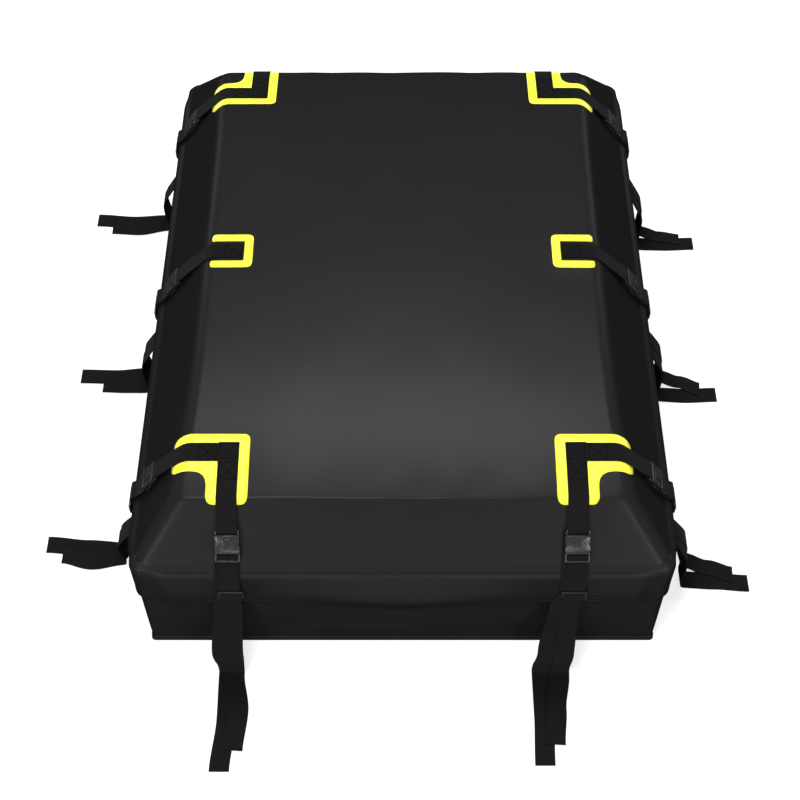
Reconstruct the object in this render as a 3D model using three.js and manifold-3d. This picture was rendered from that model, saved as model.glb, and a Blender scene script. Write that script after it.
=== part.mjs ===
// Soft roof cargo bag, in millimetres. The origin is the centre of the base's underside, +Z is up,
// -Y is the front of the bag and its length runs along Y.
import * as THREE from 'three';
import { mergeVertices } from 'three/addons/utils/BufferGeometryUtils.js';
import Module from 'manifold-3d';

// Bag body
const BAG_WIDTH = 1000; // along X, at the zip
const BAG_LENGTH = 1320; // along Y, at the zip
const TUB_HEIGHT = 262; // floor to the tub's rim
const LID_HEIGHT = 144; // lid's rim to the flat of the top panel
const LID_SLOPE_INSET = 109; // how far the lid's four slopes lean in
const BASE_INSET = 8; // how far the tub's walls lean in
const CORNER_RADIUS = 24; // upright corners
const TOP_EDGE_RADIUS = 40; // soft fold round the top panel
const BASE_EDGE_RADIUS = 6; // piped fold round the floor
const FABRIC = 3; // coated fabric with its lining
const TOP_CROWN = 6; // rise of the top panel's middle
const CROWN_SHARES = [0.62, 0.25]; // how far out the crown's rings are, as shares of the panel
const FLAT_MARGIN = 4; // flat fabric between the patches and the crown

// Zip and the flap that covers it
const ZIP_TAPE_HEIGHT = 4.4; // one row of teeth on its tape
const ZIP_TAPE_DEPTH = 2.5;
const ZIP_TAPE_PROUD = 0.5; // how far the teeth stand out of the walls
const ZIP_SLOT = 2.6; // room between the rows for the slider's post
const FLAP_THICKNESS = 2;
const FLAP_SEAM_WIDTH = 16; // part of the flap sewn on the lid's slope
const FLAP_STAND = 9.5; // outside of the flap to the zip line, along the sides
const FLAP_CORNER_STAND = 4.2; // the same at the corners, where the flap is tight
const FLAP_SHOULDER = 0.8; // share of that stand where it leaves the slope
const FLAP_SHOULDER_RISE = 3.5; // shoulder above the lid's rim
const FLAP_FRONT_DROP = 6; // upright part of the flap starts below the lid's rim
const FLAP_TAPER = 45; // length over which it tightens
const FLAP_DROP = 72; // flap's hem below the tub's rim
const FLAP_BELLY = 6; // how far the hem stands out between the end straps
const FLAP_STOPS = [-1, -0.66, -0.33, 0, 0.33, 0.66, 1]; // where the belly is cut into facets

// Zip sliders and their pulls
const SLIDER_LENGTH = 14;
const SLIDER_PLATE = 1.6;
const SLIDER_SPACING = 18; // centre to centre, with the bag shut
const SLIDER_CUT = 2; // cut corners of its plates
const SLIDER_POST_INSET = 3; // post's ends to the plates' ends
const SLIDER_MARGIN = 0.2; // how far the plates stay short of the tapes' far edges
const BRIDGE_BAR = 1.4; // bar that the pull hangs on
const BRIDGE_LEG = 2;
const BRIDGE_OVERHANG = 1; // bar beyond the pull, into each leg
const PULL_WIDTH = 9;
const PULL_LENGTH = 45;
const PULL_THICKNESS = 0.8;
const PULL_RETURN = 18; // short leg folded over the bar
const PULL_STRAIGHT = 3; // short leg stays off the long one for this length below the bar
const PULL_CLOSING = 5; // length over which it closes up
const PULL_BEND_STEPS = 4;

// Webbing, and where the straps are
const WEBBING_WIDTH = 38;
const WEBBING = 1.6; // thickness
const WEBBING_AIR = 0.4; // air between two layers of webbing
const SIDE_STRAP_INSET = 176; // outer straps of a long side, in from the ends of the bag
const END_STRAP_INSET = 183; // end straps, in from the sides of the bag
const MIDDLE_STRAP_INSET = 180; // inner end of the middle straps, in from the side
const CROSSING_EDGE = 1; // webbing stays level this far past a strap that it crosses
const CROSSING_RAMP = 8; // and comes down over this length
const LOOP_SEWN = 100; // loop's sewn end, down the slope from the top edge
const FRONT_REACH = 260; // loops on the ground, out from the zip line
const BACK_REACH = 200;
const SIDE_REACH = 215;
const FALL_STAND = 54; // how far the hanging loops stand off at FALL_HEIGHT
const FALL_HEIGHT = 60;
const FALL_LEAN = 4; // how far it still leans out there, over the length of the handle
const FALL_HANDLE = 45; // how long the hanging curve keeps its direction at each end
const LANDING_RUN = 31; // bend from the fall to the ground
const LANDING_HANDLE = 25;
const TAIL_SHORT = 42; // free end of the webbing to the loop's tip
const SEWN_BACK = 26; // webbing sewn back on itself above the buckle
const MITRE_LIMIT = 0.3; // sharpest mitre of an offset path

// Side-release buckles
const BUCKLE_START = 95; // top of the buckle, down the slope from the top edge
const BUCKLE_WIDTH = 46;
const SOCKET_LENGTH = 45;
const SOCKET_THICKNESS = 12;
const SOCKET_WALL = 2;
const SOCKET_SIDE_WALL = 3.5;
const SOCKET_BEVEL = 1.5;
const BAR = 4; // webbing bars of the buckle, length and thickness
const WEB_SLOT = 4.4;
const BAR_BEND = 2; // radius of the webbing's bends round a bar
const BAR_AIR = 0.1; // air round a bar, beyond the clearance
const BAR_LEAD = 1; // webbing is level this far before the upper bar
const EYE_CUT = 2; // cut corners of the upper bar's eye
const EYE_NARROWING = 1; // eye narrower than the housing, each side
const EYE_OVERLAP = 4; // eye's root inside the housing
const SOCKET_WAIST = 1.5; // how far the sides dip in at the windows
const SOCKET_SHOULDER = 4; // cut at the housing's upper corners
const SOCKET_SHOULDER_RUN = 2.5;
const WINDOW_START = 15;
const WINDOW_LENGTH = 14;
const WINDOW_LEAD = 2; // full width is reached this far from a window
const WINDOW_LIP = 0.6; // lip above and below a window
const TONGUE_SHOULDER = 4; // length of the shoulder that fills the socket's mouth
const LADDER_START = 1; // ladder's first slot beyond the socket's mouth
const LADDER_CUT = 2;
const PRONG_LENGTH = 30; // arms inside the socket
const PRONG_WIDTH = 4;
const PRONG_INSET = 1.6; // arms' outer sides to the cavity's walls
const PRONG_TAPER = 1; // how far an arm's tip leans in
const PRONG_FLARE = 3; // widening of an arm towards its root
const PAD_INSET = 1; // thumb pad's ends to the window's ends
const PAD_SUNK = 0.5; // pads' faces below the socket's sides
const PAD_SLOPE = 5; // length of a pad's sloped end
const PAD_STEP = 1.5; // height of a pad where its slope starts
const GUIDE_HALF = 3.5; // middle guide at its root, and at its tip
const GUIDE_TIP_HALF = 1;
const GUIDE_TAPER = 2;

// Strap keepers
const KEEPER_HEIGHT = 222; // centre above the ground
const KEEPER_LENGTH = 24;
const KEEPER_THICKNESS = 3.5;
const KEEPER_BAR = 4;
const KEEPER_RAIL = 3;
const KEEPER_PLAY = 0.8; // opening wider than the webbing, each side
const KEEPER_SINK = 0.4; // how deep the keeper and its webbing are fused
const HUMP_LEAD = 1; // webbing is flat this far before it rises to the keeper's bar

// Reflective patches
const PATCH = 0.8; // thickness
const PATCH_MARGIN = 19; // how far a patch shows beside the webbing
const PATCH_TIP = 50; // tips of the corner patches, down the slope from the top edge
const PATCH_CORNER = 13;
const PATCH_FILLET = 30;
const MIDDLE_PATCH_LENGTH = 84;
const MIDDLE_PATCH_WIDTH = 90;

const CLEARANCE = 0.3; // between pieces that touch
const CUT_PAST = 1; // how far a cutter reaches past what it cuts
const JOIN = 0.5; // how deep fused parts run into each other
const MERGE_DISTANCE = 1e-4;

// How finely the round forms are cut
const CORNER_STEPS = 4;
const EDGE_STEPS = 4;
const BEND_STEPS = 2;
const FALL_STEPS = 3;
const CURVE_STEPS = 4;

const halfWidth = BAG_WIDTH / 2;
const halfLength = BAG_LENGTH / 2;
const lidRim = TUB_HEIGHT + 2 * (CLEARANCE + ZIP_TAPE_HEIGHT) + ZIP_SLOT;
const topHeight = lidRim + LID_HEIGHT;
const slopeAngle = Math.atan2(LID_HEIGHT, LID_SLOPE_INSET);
const slopeLength = Math.hypot(LID_HEIGHT, LID_SLOPE_INSET);
const topEdgeInset = LID_SLOPE_INSET + TOP_EDGE_RADIUS * Math.tan(slopeAngle / 2);
const halfWebbing = WEBBING_WIDTH / 2;
const layerPitch = WEBBING + WEBBING_AIR;
const loopHeight = CLEARANCE + WEBBING / 2;
const buckleHeight = loopHeight + 2 * layerPitch + WEBBING / 2 + CLEARANCE + BAR / 2 + WEBBING_AIR;
const barOffset = BAR / 2 + CLEARANCE + BAR_AIR + WEBBING / 2;
const sideStrapSpacing = halfLength - SIDE_STRAP_INSET;
const endStrapOffset = halfWidth - END_STRAP_INSET;
const cornerStart = halfWebbing + Math.max(END_STRAP_INSET, SIDE_STRAP_INSET);
const flatInset = cornerStart + PATCH_MARGIN + FLAT_MARGIN;

const wasm = await Module();
wasm.setup();

const paint = (color, roughness, metalness = 0) => () =>
  new THREE.MeshStandardMaterial({ color, roughness, metalness });
const tarpaulin = paint(0x26282a, 0.42);
const floorFabric = paint(0x202223, 0.5);
const zipTape = paint(0x1b1c1d, 0.7);
const webbing = paint(0x191a1b, 0.85);
const buckleBlack = paint(0x17181a, 0.35);
const sliderMetal = paint(0x3a3b3d, 0.4, 0.8);
const reflective = paint(0xf6f63a, 0.45);

// Turns a closed mesh into a solid for cutting and joining.
function toSolid(geometry) {
  const bare = geometry.clone();
  bare.deleteAttribute('normal');
  bare.deleteAttribute('uv');
  const merged = mergeVertices(bare, MERGE_DISTANCE);
  return new wasm.Manifold(
    new wasm.Mesh({
      numProp: 3,
      vertProperties: new Float32Array(merged.attributes.position.array),
      triVerts: new Uint32Array(merged.index.array),
    }),
  );
}

function toGeometry(solid) {
  const mesh = solid.getMesh();
  const geometry = new THREE.BufferGeometry();
  geometry.setAttribute('position', new THREE.BufferAttribute(mesh.vertProperties, 3));
  geometry.setIndex(new THREE.BufferAttribute(mesh.triVerts, 1));
  geometry.computeVertexNormals();
  return geometry;
}

const box = (x0, x1, y0, y1, z0, z1) =>
  new THREE.BoxGeometry(x1 - x0, y1 - y0, z1 - z0).translate((x0 + x1) / 2, (y0 + y1) / 2, (z0 + z1) / 2);

// Joins rings of points into a closed skin. An open run of rings is capped at both ends, and a
// looped one comes back to its first ring.
function loft(rings, looped = false) {
  const count = rings[0].length;
  const points = rings.flat();
  const triangles = [];
  const spans = looped ? rings.length : rings.length - 1;
  for (let ring = 0; ring < spans; ring += 1) {
    const here = ring * count;
    const next = ((ring + 1) % rings.length) * count;
    for (let k = 0; k < count; k += 1) {
      const after = (k + 1) % count;
      triangles.push(here + k, here + after, next + after, here + k, next + after, next + k);
    }
  }
  if (!looped) {
    for (const [ring, flip] of [[0, true], [rings.length - 1, false]]) {
      const middle = new THREE.Vector3();
      rings[ring].forEach((point) => middle.addScaledVector(point, 1 / count));
      const hub = points.push(middle) - 1;
      for (let k = 0; k < count; k += 1) {
        const here = ring * count + k;
        const after = ring * count + ((k + 1) % count);
        triangles.push(...(flip ? [hub, after, here] : [hub, here, after]));
      }
    }
  }
  let volume = 0;
  for (let k = 0; k < triangles.length; k += 3) {
    const [a, b, c] = triangles.slice(k, k + 3).map((index) => points[index]);
    volume += a.dot(b.clone().cross(c));
  }
  if (volume < 0) triangles.reverse();
  const geometry = new THREE.BufferGeometry().setFromPoints(points);
  geometry.setIndex(triangles);
  geometry.computeVertexNormals();
  return geometry;
}

// Rounded rectangle at one height, inset from the zip line.
function bodyRing(inset, z, scale = 1) {
  const ring = [];
  const corners = [[1, 1], [-1, 1], [-1, -1], [1, -1]];
  corners.forEach(([sx, sy], corner) => {
    for (let k = 0; k <= CORNER_STEPS; k += 1) {
      const angle = (corner + k / CORNER_STEPS) * (Math.PI / 2);
      const x = sx * (halfWidth - inset - CORNER_RADIUS) + CORNER_RADIUS * Math.cos(angle);
      const y = sy * (halfLength - inset - CORNER_RADIUS) + CORNER_RADIUS * Math.sin(angle);
      ring.push(new THREE.Vector3(x * scale, y * scale, z));
    }
  });
  return ring;
}

// Tub: the outer skin's levels as [inset, height], from the floor up, and the same moved in by the
// fabric's thickness.
function tubLevels(inward) {
  const levels = [];
  const radius = BASE_EDGE_RADIUS - Math.min(inward, BASE_EDGE_RADIUS - 1);
  for (let k = 0; k <= EDGE_STEPS; k += 1) {
    const angle = (k / EDGE_STEPS) * (Math.PI / 2);
    const inset = BASE_INSET + inward + radius * (1 - Math.sin(angle));
    levels.push([inset, inward + radius * (1 - Math.cos(angle))]);
  }
  levels.push([inward, TUB_HEIGHT]);
  return levels;
}

function baseTub() {
  const outer = tubLevels(0).map(([inset, z]) => bodyRing(inset, z));
  const inner = tubLevels(FABRIC).map(([inset, z]) => bodyRing(inset, z));
  return loft([...inner, ...outer.reverse()]);
}

// Lid: its outer skin moved out by offset, as rings from the rim to near the middle of the top.
function lidRings(offset) {
  const rings = [bodyRing(-offset / Math.sin(slopeAngle), lidRim)];
  const radius = TOP_EDGE_RADIUS + offset;
  for (let k = 0; k <= EDGE_STEPS; k += 1) {
    const angle = slopeAngle * (1 - k / EDGE_STEPS);
    const z = topHeight - TOP_EDGE_RADIUS + radius * Math.cos(angle);
    rings.push(bodyRing(topEdgeInset - radius * Math.sin(angle), z));
  }
  rings.push(bodyRing(flatInset, topHeight + offset));
  for (const scale of CROWN_SHARES) {
    rings.push(bodyRing(flatInset, topHeight + offset + TOP_CROWN * (1 - scale * scale), scale));
  }
  return rings;
}

function lidShell() {
  return loft([...lidRings(-FABRIC).reverse(), ...lidRings(0)]);
}

// Sheet of the given thickness lying on the lid, inside an outline seen from above.
function sheetOnLid(outline) {
  const over = toSolid(loft(lidRings(CLEARANCE + PATCH)));
  const under = toSolid(loft(lidRings(CLEARANCE)));
  const prism = new THREE.ExtrudeGeometry(outline, {
    depth: LID_HEIGHT,
    bevelEnabled: false,
    curveSegments: CURVE_STEPS,
  }).translate(0, 0, lidRim + LID_HEIGHT / 2);
  return toGeometry(over.subtract(under).intersect(toSolid(prism)));
}

// Points along the zip line, each with the direction out of the bag. fullness is 1 along the
// sides and 0 round the corners, and belly is 1 at the middle of an end.
function flapStations() {
  const stations = [];
  const sides = [
    [0, halfWidth, halfLength, 0],
    [1, halfLength, halfWidth, FLAP_BELLY],
    [2, halfWidth, halfLength, 0],
    [3, halfLength, halfWidth, FLAP_BELLY],
  ];
  for (const [quarter, out, half, bellyDepth] of sides) {
    const turn = (quarter * Math.PI) / 2;
    const outward = new THREE.Vector3(Math.cos(turn), Math.sin(turn), 0);
    const along = new THREE.Vector3(-Math.sin(turn), Math.cos(turn), 0);
    const run = half - CORNER_RADIUS;
    const span = endStrapOffset - WEBBING_WIDTH;
    const stops = FLAP_STOPS.map((share) => share * span);
    const middle = bellyDepth > 0 ? stops : [];
    for (const stop of [-(run - FLAP_TAPER), ...middle, run - FLAP_TAPER]) {
      const share = Math.min(Math.abs(stop) / span, 1);
      stations.push({
        place: outward.clone().multiplyScalar(out).addScaledVector(along, stop),
        outward,
        fullness: 1,
        belly: bellyDepth * Math.cos((share * Math.PI) / 2) ** 2,
      });
    }
    for (let k = 0; k <= CORNER_STEPS; k += 1) {
      const angle = turn + (k / CORNER_STEPS) * (Math.PI / 2);
      const direction = new THREE.Vector3(Math.cos(angle), Math.sin(angle), 0);
      const centre = outward.clone().multiplyScalar(out - CORNER_RADIUS).addScaledVector(along, run);
      stations.push({
        place: centre.addScaledVector(direction, CORNER_RADIUS),
        outward: direction,
        fullness: 0,
        belly: 0,
      });
    }
  }
  return stations;
}

// Outer face of the flap in section, as [out from the zip line, height], from its seam to its hem.
function flapSection(fullness, belly) {
  const stand = THREE.MathUtils.lerp(FLAP_CORNER_STAND, FLAP_STAND, fullness);
  const seam = slopePoint(slopeLength - FLAP_SEAM_WIDTH, CLEARANCE + FLAP_THICKNESS);
  return [
    seam,
    [stand * FLAP_SHOULDER, lidRim + FLAP_SHOULDER_RISE],
    [stand, lidRim - FLAP_FRONT_DROP],
    [stand + belly, TUB_HEIGHT - FLAP_DROP],
  ];
}

function stormFlap() {
  const rings = flapStations().map(({ place, outward, fullness, belly }) => {
    const outer = flapSection(fullness, belly);
    const inner = offsetPath(outer, -FLAP_THICKNESS);
    const section = [...outer, ...inner.reverse()];
    return section.map(([out, z]) => place.clone().addScaledVector(outward, out).setZ(z));
  });
  return loft(rings, true);
}

// One row of zip teeth on its tape, as a band round the bag.
function zipRow(bottom) {
  const levels = [
    [-ZIP_TAPE_PROUD, bottom],
    [-ZIP_TAPE_PROUD, bottom + ZIP_TAPE_HEIGHT],
    [ZIP_TAPE_DEPTH - ZIP_TAPE_PROUD, bottom + ZIP_TAPE_HEIGHT],
    [ZIP_TAPE_DEPTH - ZIP_TAPE_PROUD, bottom],
  ];
  return loft(levels.map(([inset, z]) => bodyRing(inset, z)), true);
}

// Paths are lists of [out, height] in the section through a strap.

// Point on the lid's slope: down from the top edge, and off the fabric.
function slopePoint(down, off) {
  return [
    -LID_SLOPE_INSET + down * Math.cos(slopeAngle) + off * Math.sin(slopeAngle),
    topHeight - down * Math.sin(slopeAngle) + off * Math.cos(slopeAngle),
  ];
}

// The path moved sideways, to the left of its direction, with mitred corners.
function offsetPath(path, distance) {
  return path.map((point, k) => {
    const [x, y] = point;
    const before = path[Math.max(k - 1, 0)];
    const after = path[Math.min(k + 1, path.length - 1)];
    const into = new THREE.Vector2(x - before[0], y - before[1]).normalize();
    const out = new THREE.Vector2(after[0] - x, after[1] - y).normalize();
    if (k === 0) into.copy(out);
    if (k === path.length - 1) out.copy(into);
    const side = new THREE.Vector2(-into.y - out.y, into.x + out.x).normalize();
    const reach = distance / Math.max(side.dot(new THREE.Vector2(-into.y, into.x)), MITRE_LIMIT);
    return [x + side.x * reach, y + side.y * reach];
  });
}

// Arc between two directions about a centre, in the same section plane.
function bend(centre, radius, from, to, steps = BEND_STEPS) {
  const points = [];
  for (let k = 0; k <= steps; k += 1) {
    const angle = THREE.MathUtils.lerp(from, to, k / steps);
    points.push([centre[0] + radius * Math.cos(angle), centre[1] + radius * Math.sin(angle)]);
  }
  return points;
}

// The same arc laid out on the slope's own axes.
const slopeBend = (down, off, from, to) =>
  bend([down, off], BAR_BEND, from, to).map(([along, height]) => slopePoint(along, height));

// Flat strip that follows a path, as wide as asked, centred on the strap's own plane.
function ribbon(path, thickness, width) {
  const outline = [...offsetPath(path, thickness / 2), ...offsetPath(path, -thickness / 2).reverse()];
  const shape = new THREE.Shape(outline.map(([x, y]) => new THREE.Vector2(x, y)));
  return new THREE.ExtrudeGeometry(shape, { depth: width, bevelEnabled: false })
    .rotateX(Math.PI / 2)
    .translate(0, width / 2, 0);
}

// Webbing from the top panel, over the edge and round the buckle's upper bar. start is how far
// inside the zip line it begins, and crossing is the length that lies over another strap there.
function anchorStrap(start, crossing) {
  const lift = CLEARANCE + PATCH + CLEARANCE + WEBBING / 2;
  const barFar = BUCKLE_START + BAR;
  const slotMiddle = barFar + WEB_SLOT / 2;
  const over = buckleHeight + barOffset;
  const under = buckleHeight - barOffset;
  const path = [];
  if (crossing > 0) {
    path.push([-start, topHeight + lift + layerPitch]);
    path.push([-start + crossing + CROSSING_EDGE, topHeight + lift + layerPitch]);
    path.push([-start + crossing + CROSSING_EDGE + CROSSING_RAMP, topHeight + lift]);
  } else {
    path.push([-start, topHeight + lift]);
  }

  // Round the soft top edge, and off it in a straight line to the bar
  const radius = TOP_EDGE_RADIUS + lift;
  const centre = [-topEdgeInset, topHeight - TOP_EDGE_RADIUS];
  const bar = slopePoint(BUCKLE_START - BAR_LEAD, over);
  const reach = Math.hypot(bar[0] - centre[0], bar[1] - centre[1]);
  const toBar = Math.atan2(bar[1] - centre[1], bar[0] - centre[0]);
  const leave = toBar + Math.acos(radius / reach);
  path.push(...bend(centre, radius, Math.PI / 2, leave, EDGE_STEPS));
  path.push(bar);
  path.push(...slopeBend(slotMiddle - BAR_BEND, over - BAR_BEND, Math.PI / 2, 0));
  path.push(...slopeBend(slotMiddle - BAR_BEND, under + BAR_BEND, 0, -Math.PI / 2));

  // Sewn back under itself
  const tangent = [centre[0] + radius * Math.cos(leave), centre[1] + radius * Math.sin(leave)];
  const length = Math.hypot(bar[0] - tangent[0], bar[1] - tangent[1]);
  const backFrom = (distance) => {
    const share = distance / length;
    return [
      THREE.MathUtils.lerp(bar[0], tangent[0], share) - layerPitch * Math.cos(leave),
      THREE.MathUtils.lerp(bar[1], tangent[1], share) - layerPitch * Math.sin(leave),
    ];
  };
  path.push(slopePoint(BUCKLE_START, under));
  path.push(backFrom(SEWN_BACK / 2));
  path.push(backFrom(SEWN_BACK));
  return ribbon(path, WEBBING, WEBBING_WIDTH);
}

const slotNear = BUCKLE_START + SOCKET_LENGTH + LADDER_START + WEB_SLOT / 2;
const slotFar = slotNear + WEB_SLOT + BAR;
const buckleEnd = slotFar + WEB_SLOT / 2 + BAR;

// The innermost layer of a loop, from a point on the slope out to where it ends on the ground.
function loopRoute(from, reach) {
  const overFlap = loopHeight + FLAP_THICKNESS + CLEARANCE;
  const seamTop = slopeLength - FLAP_SEAM_WIDTH;
  const [, shoulder, front, hem] = offsetPath(flapSection(1, 0), loopHeight);
  const fall = new THREE.CubicBezierCurve(
    new THREE.Vector2(...hem),
    new THREE.Vector2(hem[0], hem[1] - FALL_HANDLE),
    new THREE.Vector2(FALL_STAND - FALL_LEAN, FALL_HEIGHT + FALL_HANDLE),
    new THREE.Vector2(FALL_STAND, FALL_HEIGHT),
  );
  const landing = new THREE.CubicBezierCurve(
    new THREE.Vector2(FALL_STAND, FALL_HEIGHT),
    new THREE.Vector2(FALL_STAND + (FALL_LEAN * FALL_HEIGHT) / (2 * FALL_HANDLE), FALL_HEIGHT / 2),
    new THREE.Vector2(FALL_STAND + LANDING_RUN - LANDING_HANDLE, loopHeight),
    new THREE.Vector2(FALL_STAND + LANDING_RUN, loopHeight),
  );
  const route = [slopePoint(from, loopHeight)];
  if (from < buckleEnd) route.push(slopePoint(buckleEnd, loopHeight));
  route.push(slopePoint(seamTop - WEBBING, overFlap), shoulder, front, hem);
  route.push(...fall.getPoints(FALL_STEPS).slice(1).map((p) => [p.x, p.y]));
  route.push(...landing.getPoints(FALL_STEPS).slice(1).map((p) => [p.x, p.y]));
  route.push([reach, loopHeight]);
  return route;
}

// One length of webbing: sewn to the slope behind the buckle, down to the ground, folded at its
// tip, back up round the tongue's middle bar, and down again as a free tail.
function loopPath(reach) {
  const over = buckleHeight + barOffset;
  const tip = reach - layerPitch / 2;
  const inner = loopRoute(LOOP_SEWN, tip);
  const back = offsetPath(loopRoute(slotNear + BAR_BEND, tip), layerPitch).reverse();
  const tail = offsetPath(loopRoute(slotFar + BAR_BEND, reach - TAIL_SHORT), 2 * layerPitch);
  const backHeight = loopHeight + layerPitch;
  const tailHeight = loopHeight + 2 * layerPitch;
  return [
    ...inner.slice(0, -1),
    ...bend([tip, loopHeight + layerPitch / 2], layerPitch / 2, -Math.PI / 2, Math.PI / 2),
    ...back.slice(1, -1),
    ...slopeBend(slotNear + BAR_BEND, backHeight + BAR_BEND, -Math.PI / 2, -Math.PI),
    ...slopeBend(slotNear + BAR_BEND, over - BAR_BEND, Math.PI, Math.PI / 2),
    ...slopeBend(slotFar - BAR_BEND, over - BAR_BEND, Math.PI / 2, 0),
    ...slopeBend(slotFar + BAR_BEND, tailHeight + BAR_BEND, Math.PI, 1.5 * Math.PI),
    ...tail.slice(1),
  ];
}

// Frame with two slots that keeps the tail against the loop, and the tail's hump over its middle
// bar. They are fused with the loop's webbing.
function strapKeeper() {
  const tailOut = FLAP_STAND + loopHeight + 2 * layerPitch;
  const back = tailOut + WEBBING / 2 - KEEPER_SINK;
  const halfFrame = KEEPER_LENGTH / 2;
  const halfOpening = halfWebbing + KEEPER_PLAY;
  const halfRail = halfOpening + KEEPER_BAR;
  const plate = chamferedPlate(halfRail, halfFrame, KEEPER_BAR, KEEPER_THICKNESS);
  plate.rotateX(Math.PI / 2).rotateZ(Math.PI / 2);
  let frame = toSolid(plate.translate(back + KEEPER_THICKNESS / 2, 0, KEEPER_HEIGHT));
  for (const side of [-1, 1]) {
    const slot = (halfFrame - KEEPER_RAIL + KEEPER_BAR / 2) / 2;
    const height = halfFrame - KEEPER_RAIL - KEEPER_BAR / 2;
    const cutter = new THREE.BoxGeometry(3 * KEEPER_THICKNESS, 2 * halfOpening, height);
    frame = frame.subtract(toSolid(cutter.translate(back, 0, KEEPER_HEIGHT + side * slot)));
  }
  const front = back + KEEPER_THICKNESS + WEBBING / 2 - KEEPER_SINK;
  const foot = halfFrame - KEEPER_RAIL;
  const rise = [[tailOut, foot], [tailOut, foot - HUMP_LEAD], [front, KEEPER_BAR]];
  const hump = [...rise, ...rise.map(([out, z]) => [out, -z]).reverse()];
  const raised = ribbon(hump.map(([out, z]) => [out, KEEPER_HEIGHT + z]), WEBBING, WEBBING_WIDTH);
  return frame.add(toSolid(raised));
}

// Flat plate about the origin with cut corners, lying in X and Y.
function chamferedPlate(halfX, halfY, cut, thickness) {
  const corner = [[halfX - cut, halfY], [halfX, halfY - cut]];
  const outline = [
    ...corner.map(([x, y]) => new THREE.Vector2(-x, y)),
    ...corner.map(([x, y]) => new THREE.Vector2(-x, -y)).reverse(),
    ...corner.map(([x, y]) => new THREE.Vector2(x, -y)),
    ...corner.map(([x, y]) => new THREE.Vector2(x, y)).reverse(),
  ];
  const options = { depth: thickness, bevelEnabled: false };
  return new THREE.ExtrudeGeometry(new THREE.Shape(outline), options).translate(0, 0, -thickness / 2);
}

function strapLoop(reach) {
  const strip = toSolid(ribbon(loopPath(reach), WEBBING, WEBBING_WIDTH));
  return toGeometry(strip.add(strapKeeper()));
}

// The buckle's own frame: x down the strap from the socket's upper bar, y across it, z off the bag,
// with z = 0 in the middle of its thickness.

function buckleSocket() {
  const half = BUCKLE_WIDTH / 2;
  const shell = BAR + WEB_SLOT;
  const windowMiddle = WINDOW_START + WINDOW_LENGTH / 2;
  const side = [
    [shell, half - SOCKET_SHOULDER],
    [shell + SOCKET_SHOULDER_RUN, half - SOCKET_WAIST],
    [WINDOW_START - WINDOW_LEAD, half],
    [windowMiddle, half - SOCKET_WAIST],
    [WINDOW_START + WINDOW_LENGTH + WINDOW_LEAD, half],
    [SOCKET_LENGTH, half],
  ];
  const outline = [...side, ...side.map(([x, y]) => [x, -y]).reverse()].map(
    ([x, y]) => new THREE.Vector2(
      THREE.MathUtils.clamp(x, shell + SOCKET_BEVEL, SOCKET_LENGTH - SOCKET_BEVEL),
      y - Math.sign(y) * SOCKET_BEVEL,
    ),
  );
  const housing = new THREE.ExtrudeGeometry(new THREE.Shape(outline), {
    depth: SOCKET_THICKNESS - 2 * SOCKET_BEVEL,
    bevelThickness: SOCKET_BEVEL,
    bevelSize: SOCKET_BEVEL,
    bevelSegments: 1,
  }).translate(0, 0, SOCKET_BEVEL - SOCKET_THICKNESS / 2);
  const halfEye = (shell + EYE_OVERLAP) / 2;
  const webBar = chamferedPlate(halfEye, half - EYE_NARROWING, EYE_CUT, BAR).translate(halfEye, 0, 0);
  const halfSlot = halfWebbing + CLEARANCE;
  const webSlot = box(BAR, shell, -halfSlot, halfSlot, -BAR, BAR);

  const cavityHalf = half - SOCKET_SIDE_WALL;
  const ceiling = SOCKET_THICKNESS / 2 - SOCKET_WALL;
  const [deep, open] = [WINDOW_START - WINDOW_LEAD, SOCKET_LENGTH + CUT_PAST];
  const cavity = box(deep, open, -cavityHalf, cavityHalf, -ceiling, ceiling);
  const [beside, level] = [half + CUT_PAST, ceiling - WINDOW_LIP];
  const windows = box(WINDOW_START, WINDOW_START + WINDOW_LENGTH, -beside, beside, -level, level);
  const body = toSolid(housing).add(toSolid(webBar));
  const holes = [webSlot, cavity, windows].map(toSolid);
  return toGeometry(holes.reduce((left, hole) => left.subtract(hole), body));
}

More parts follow.
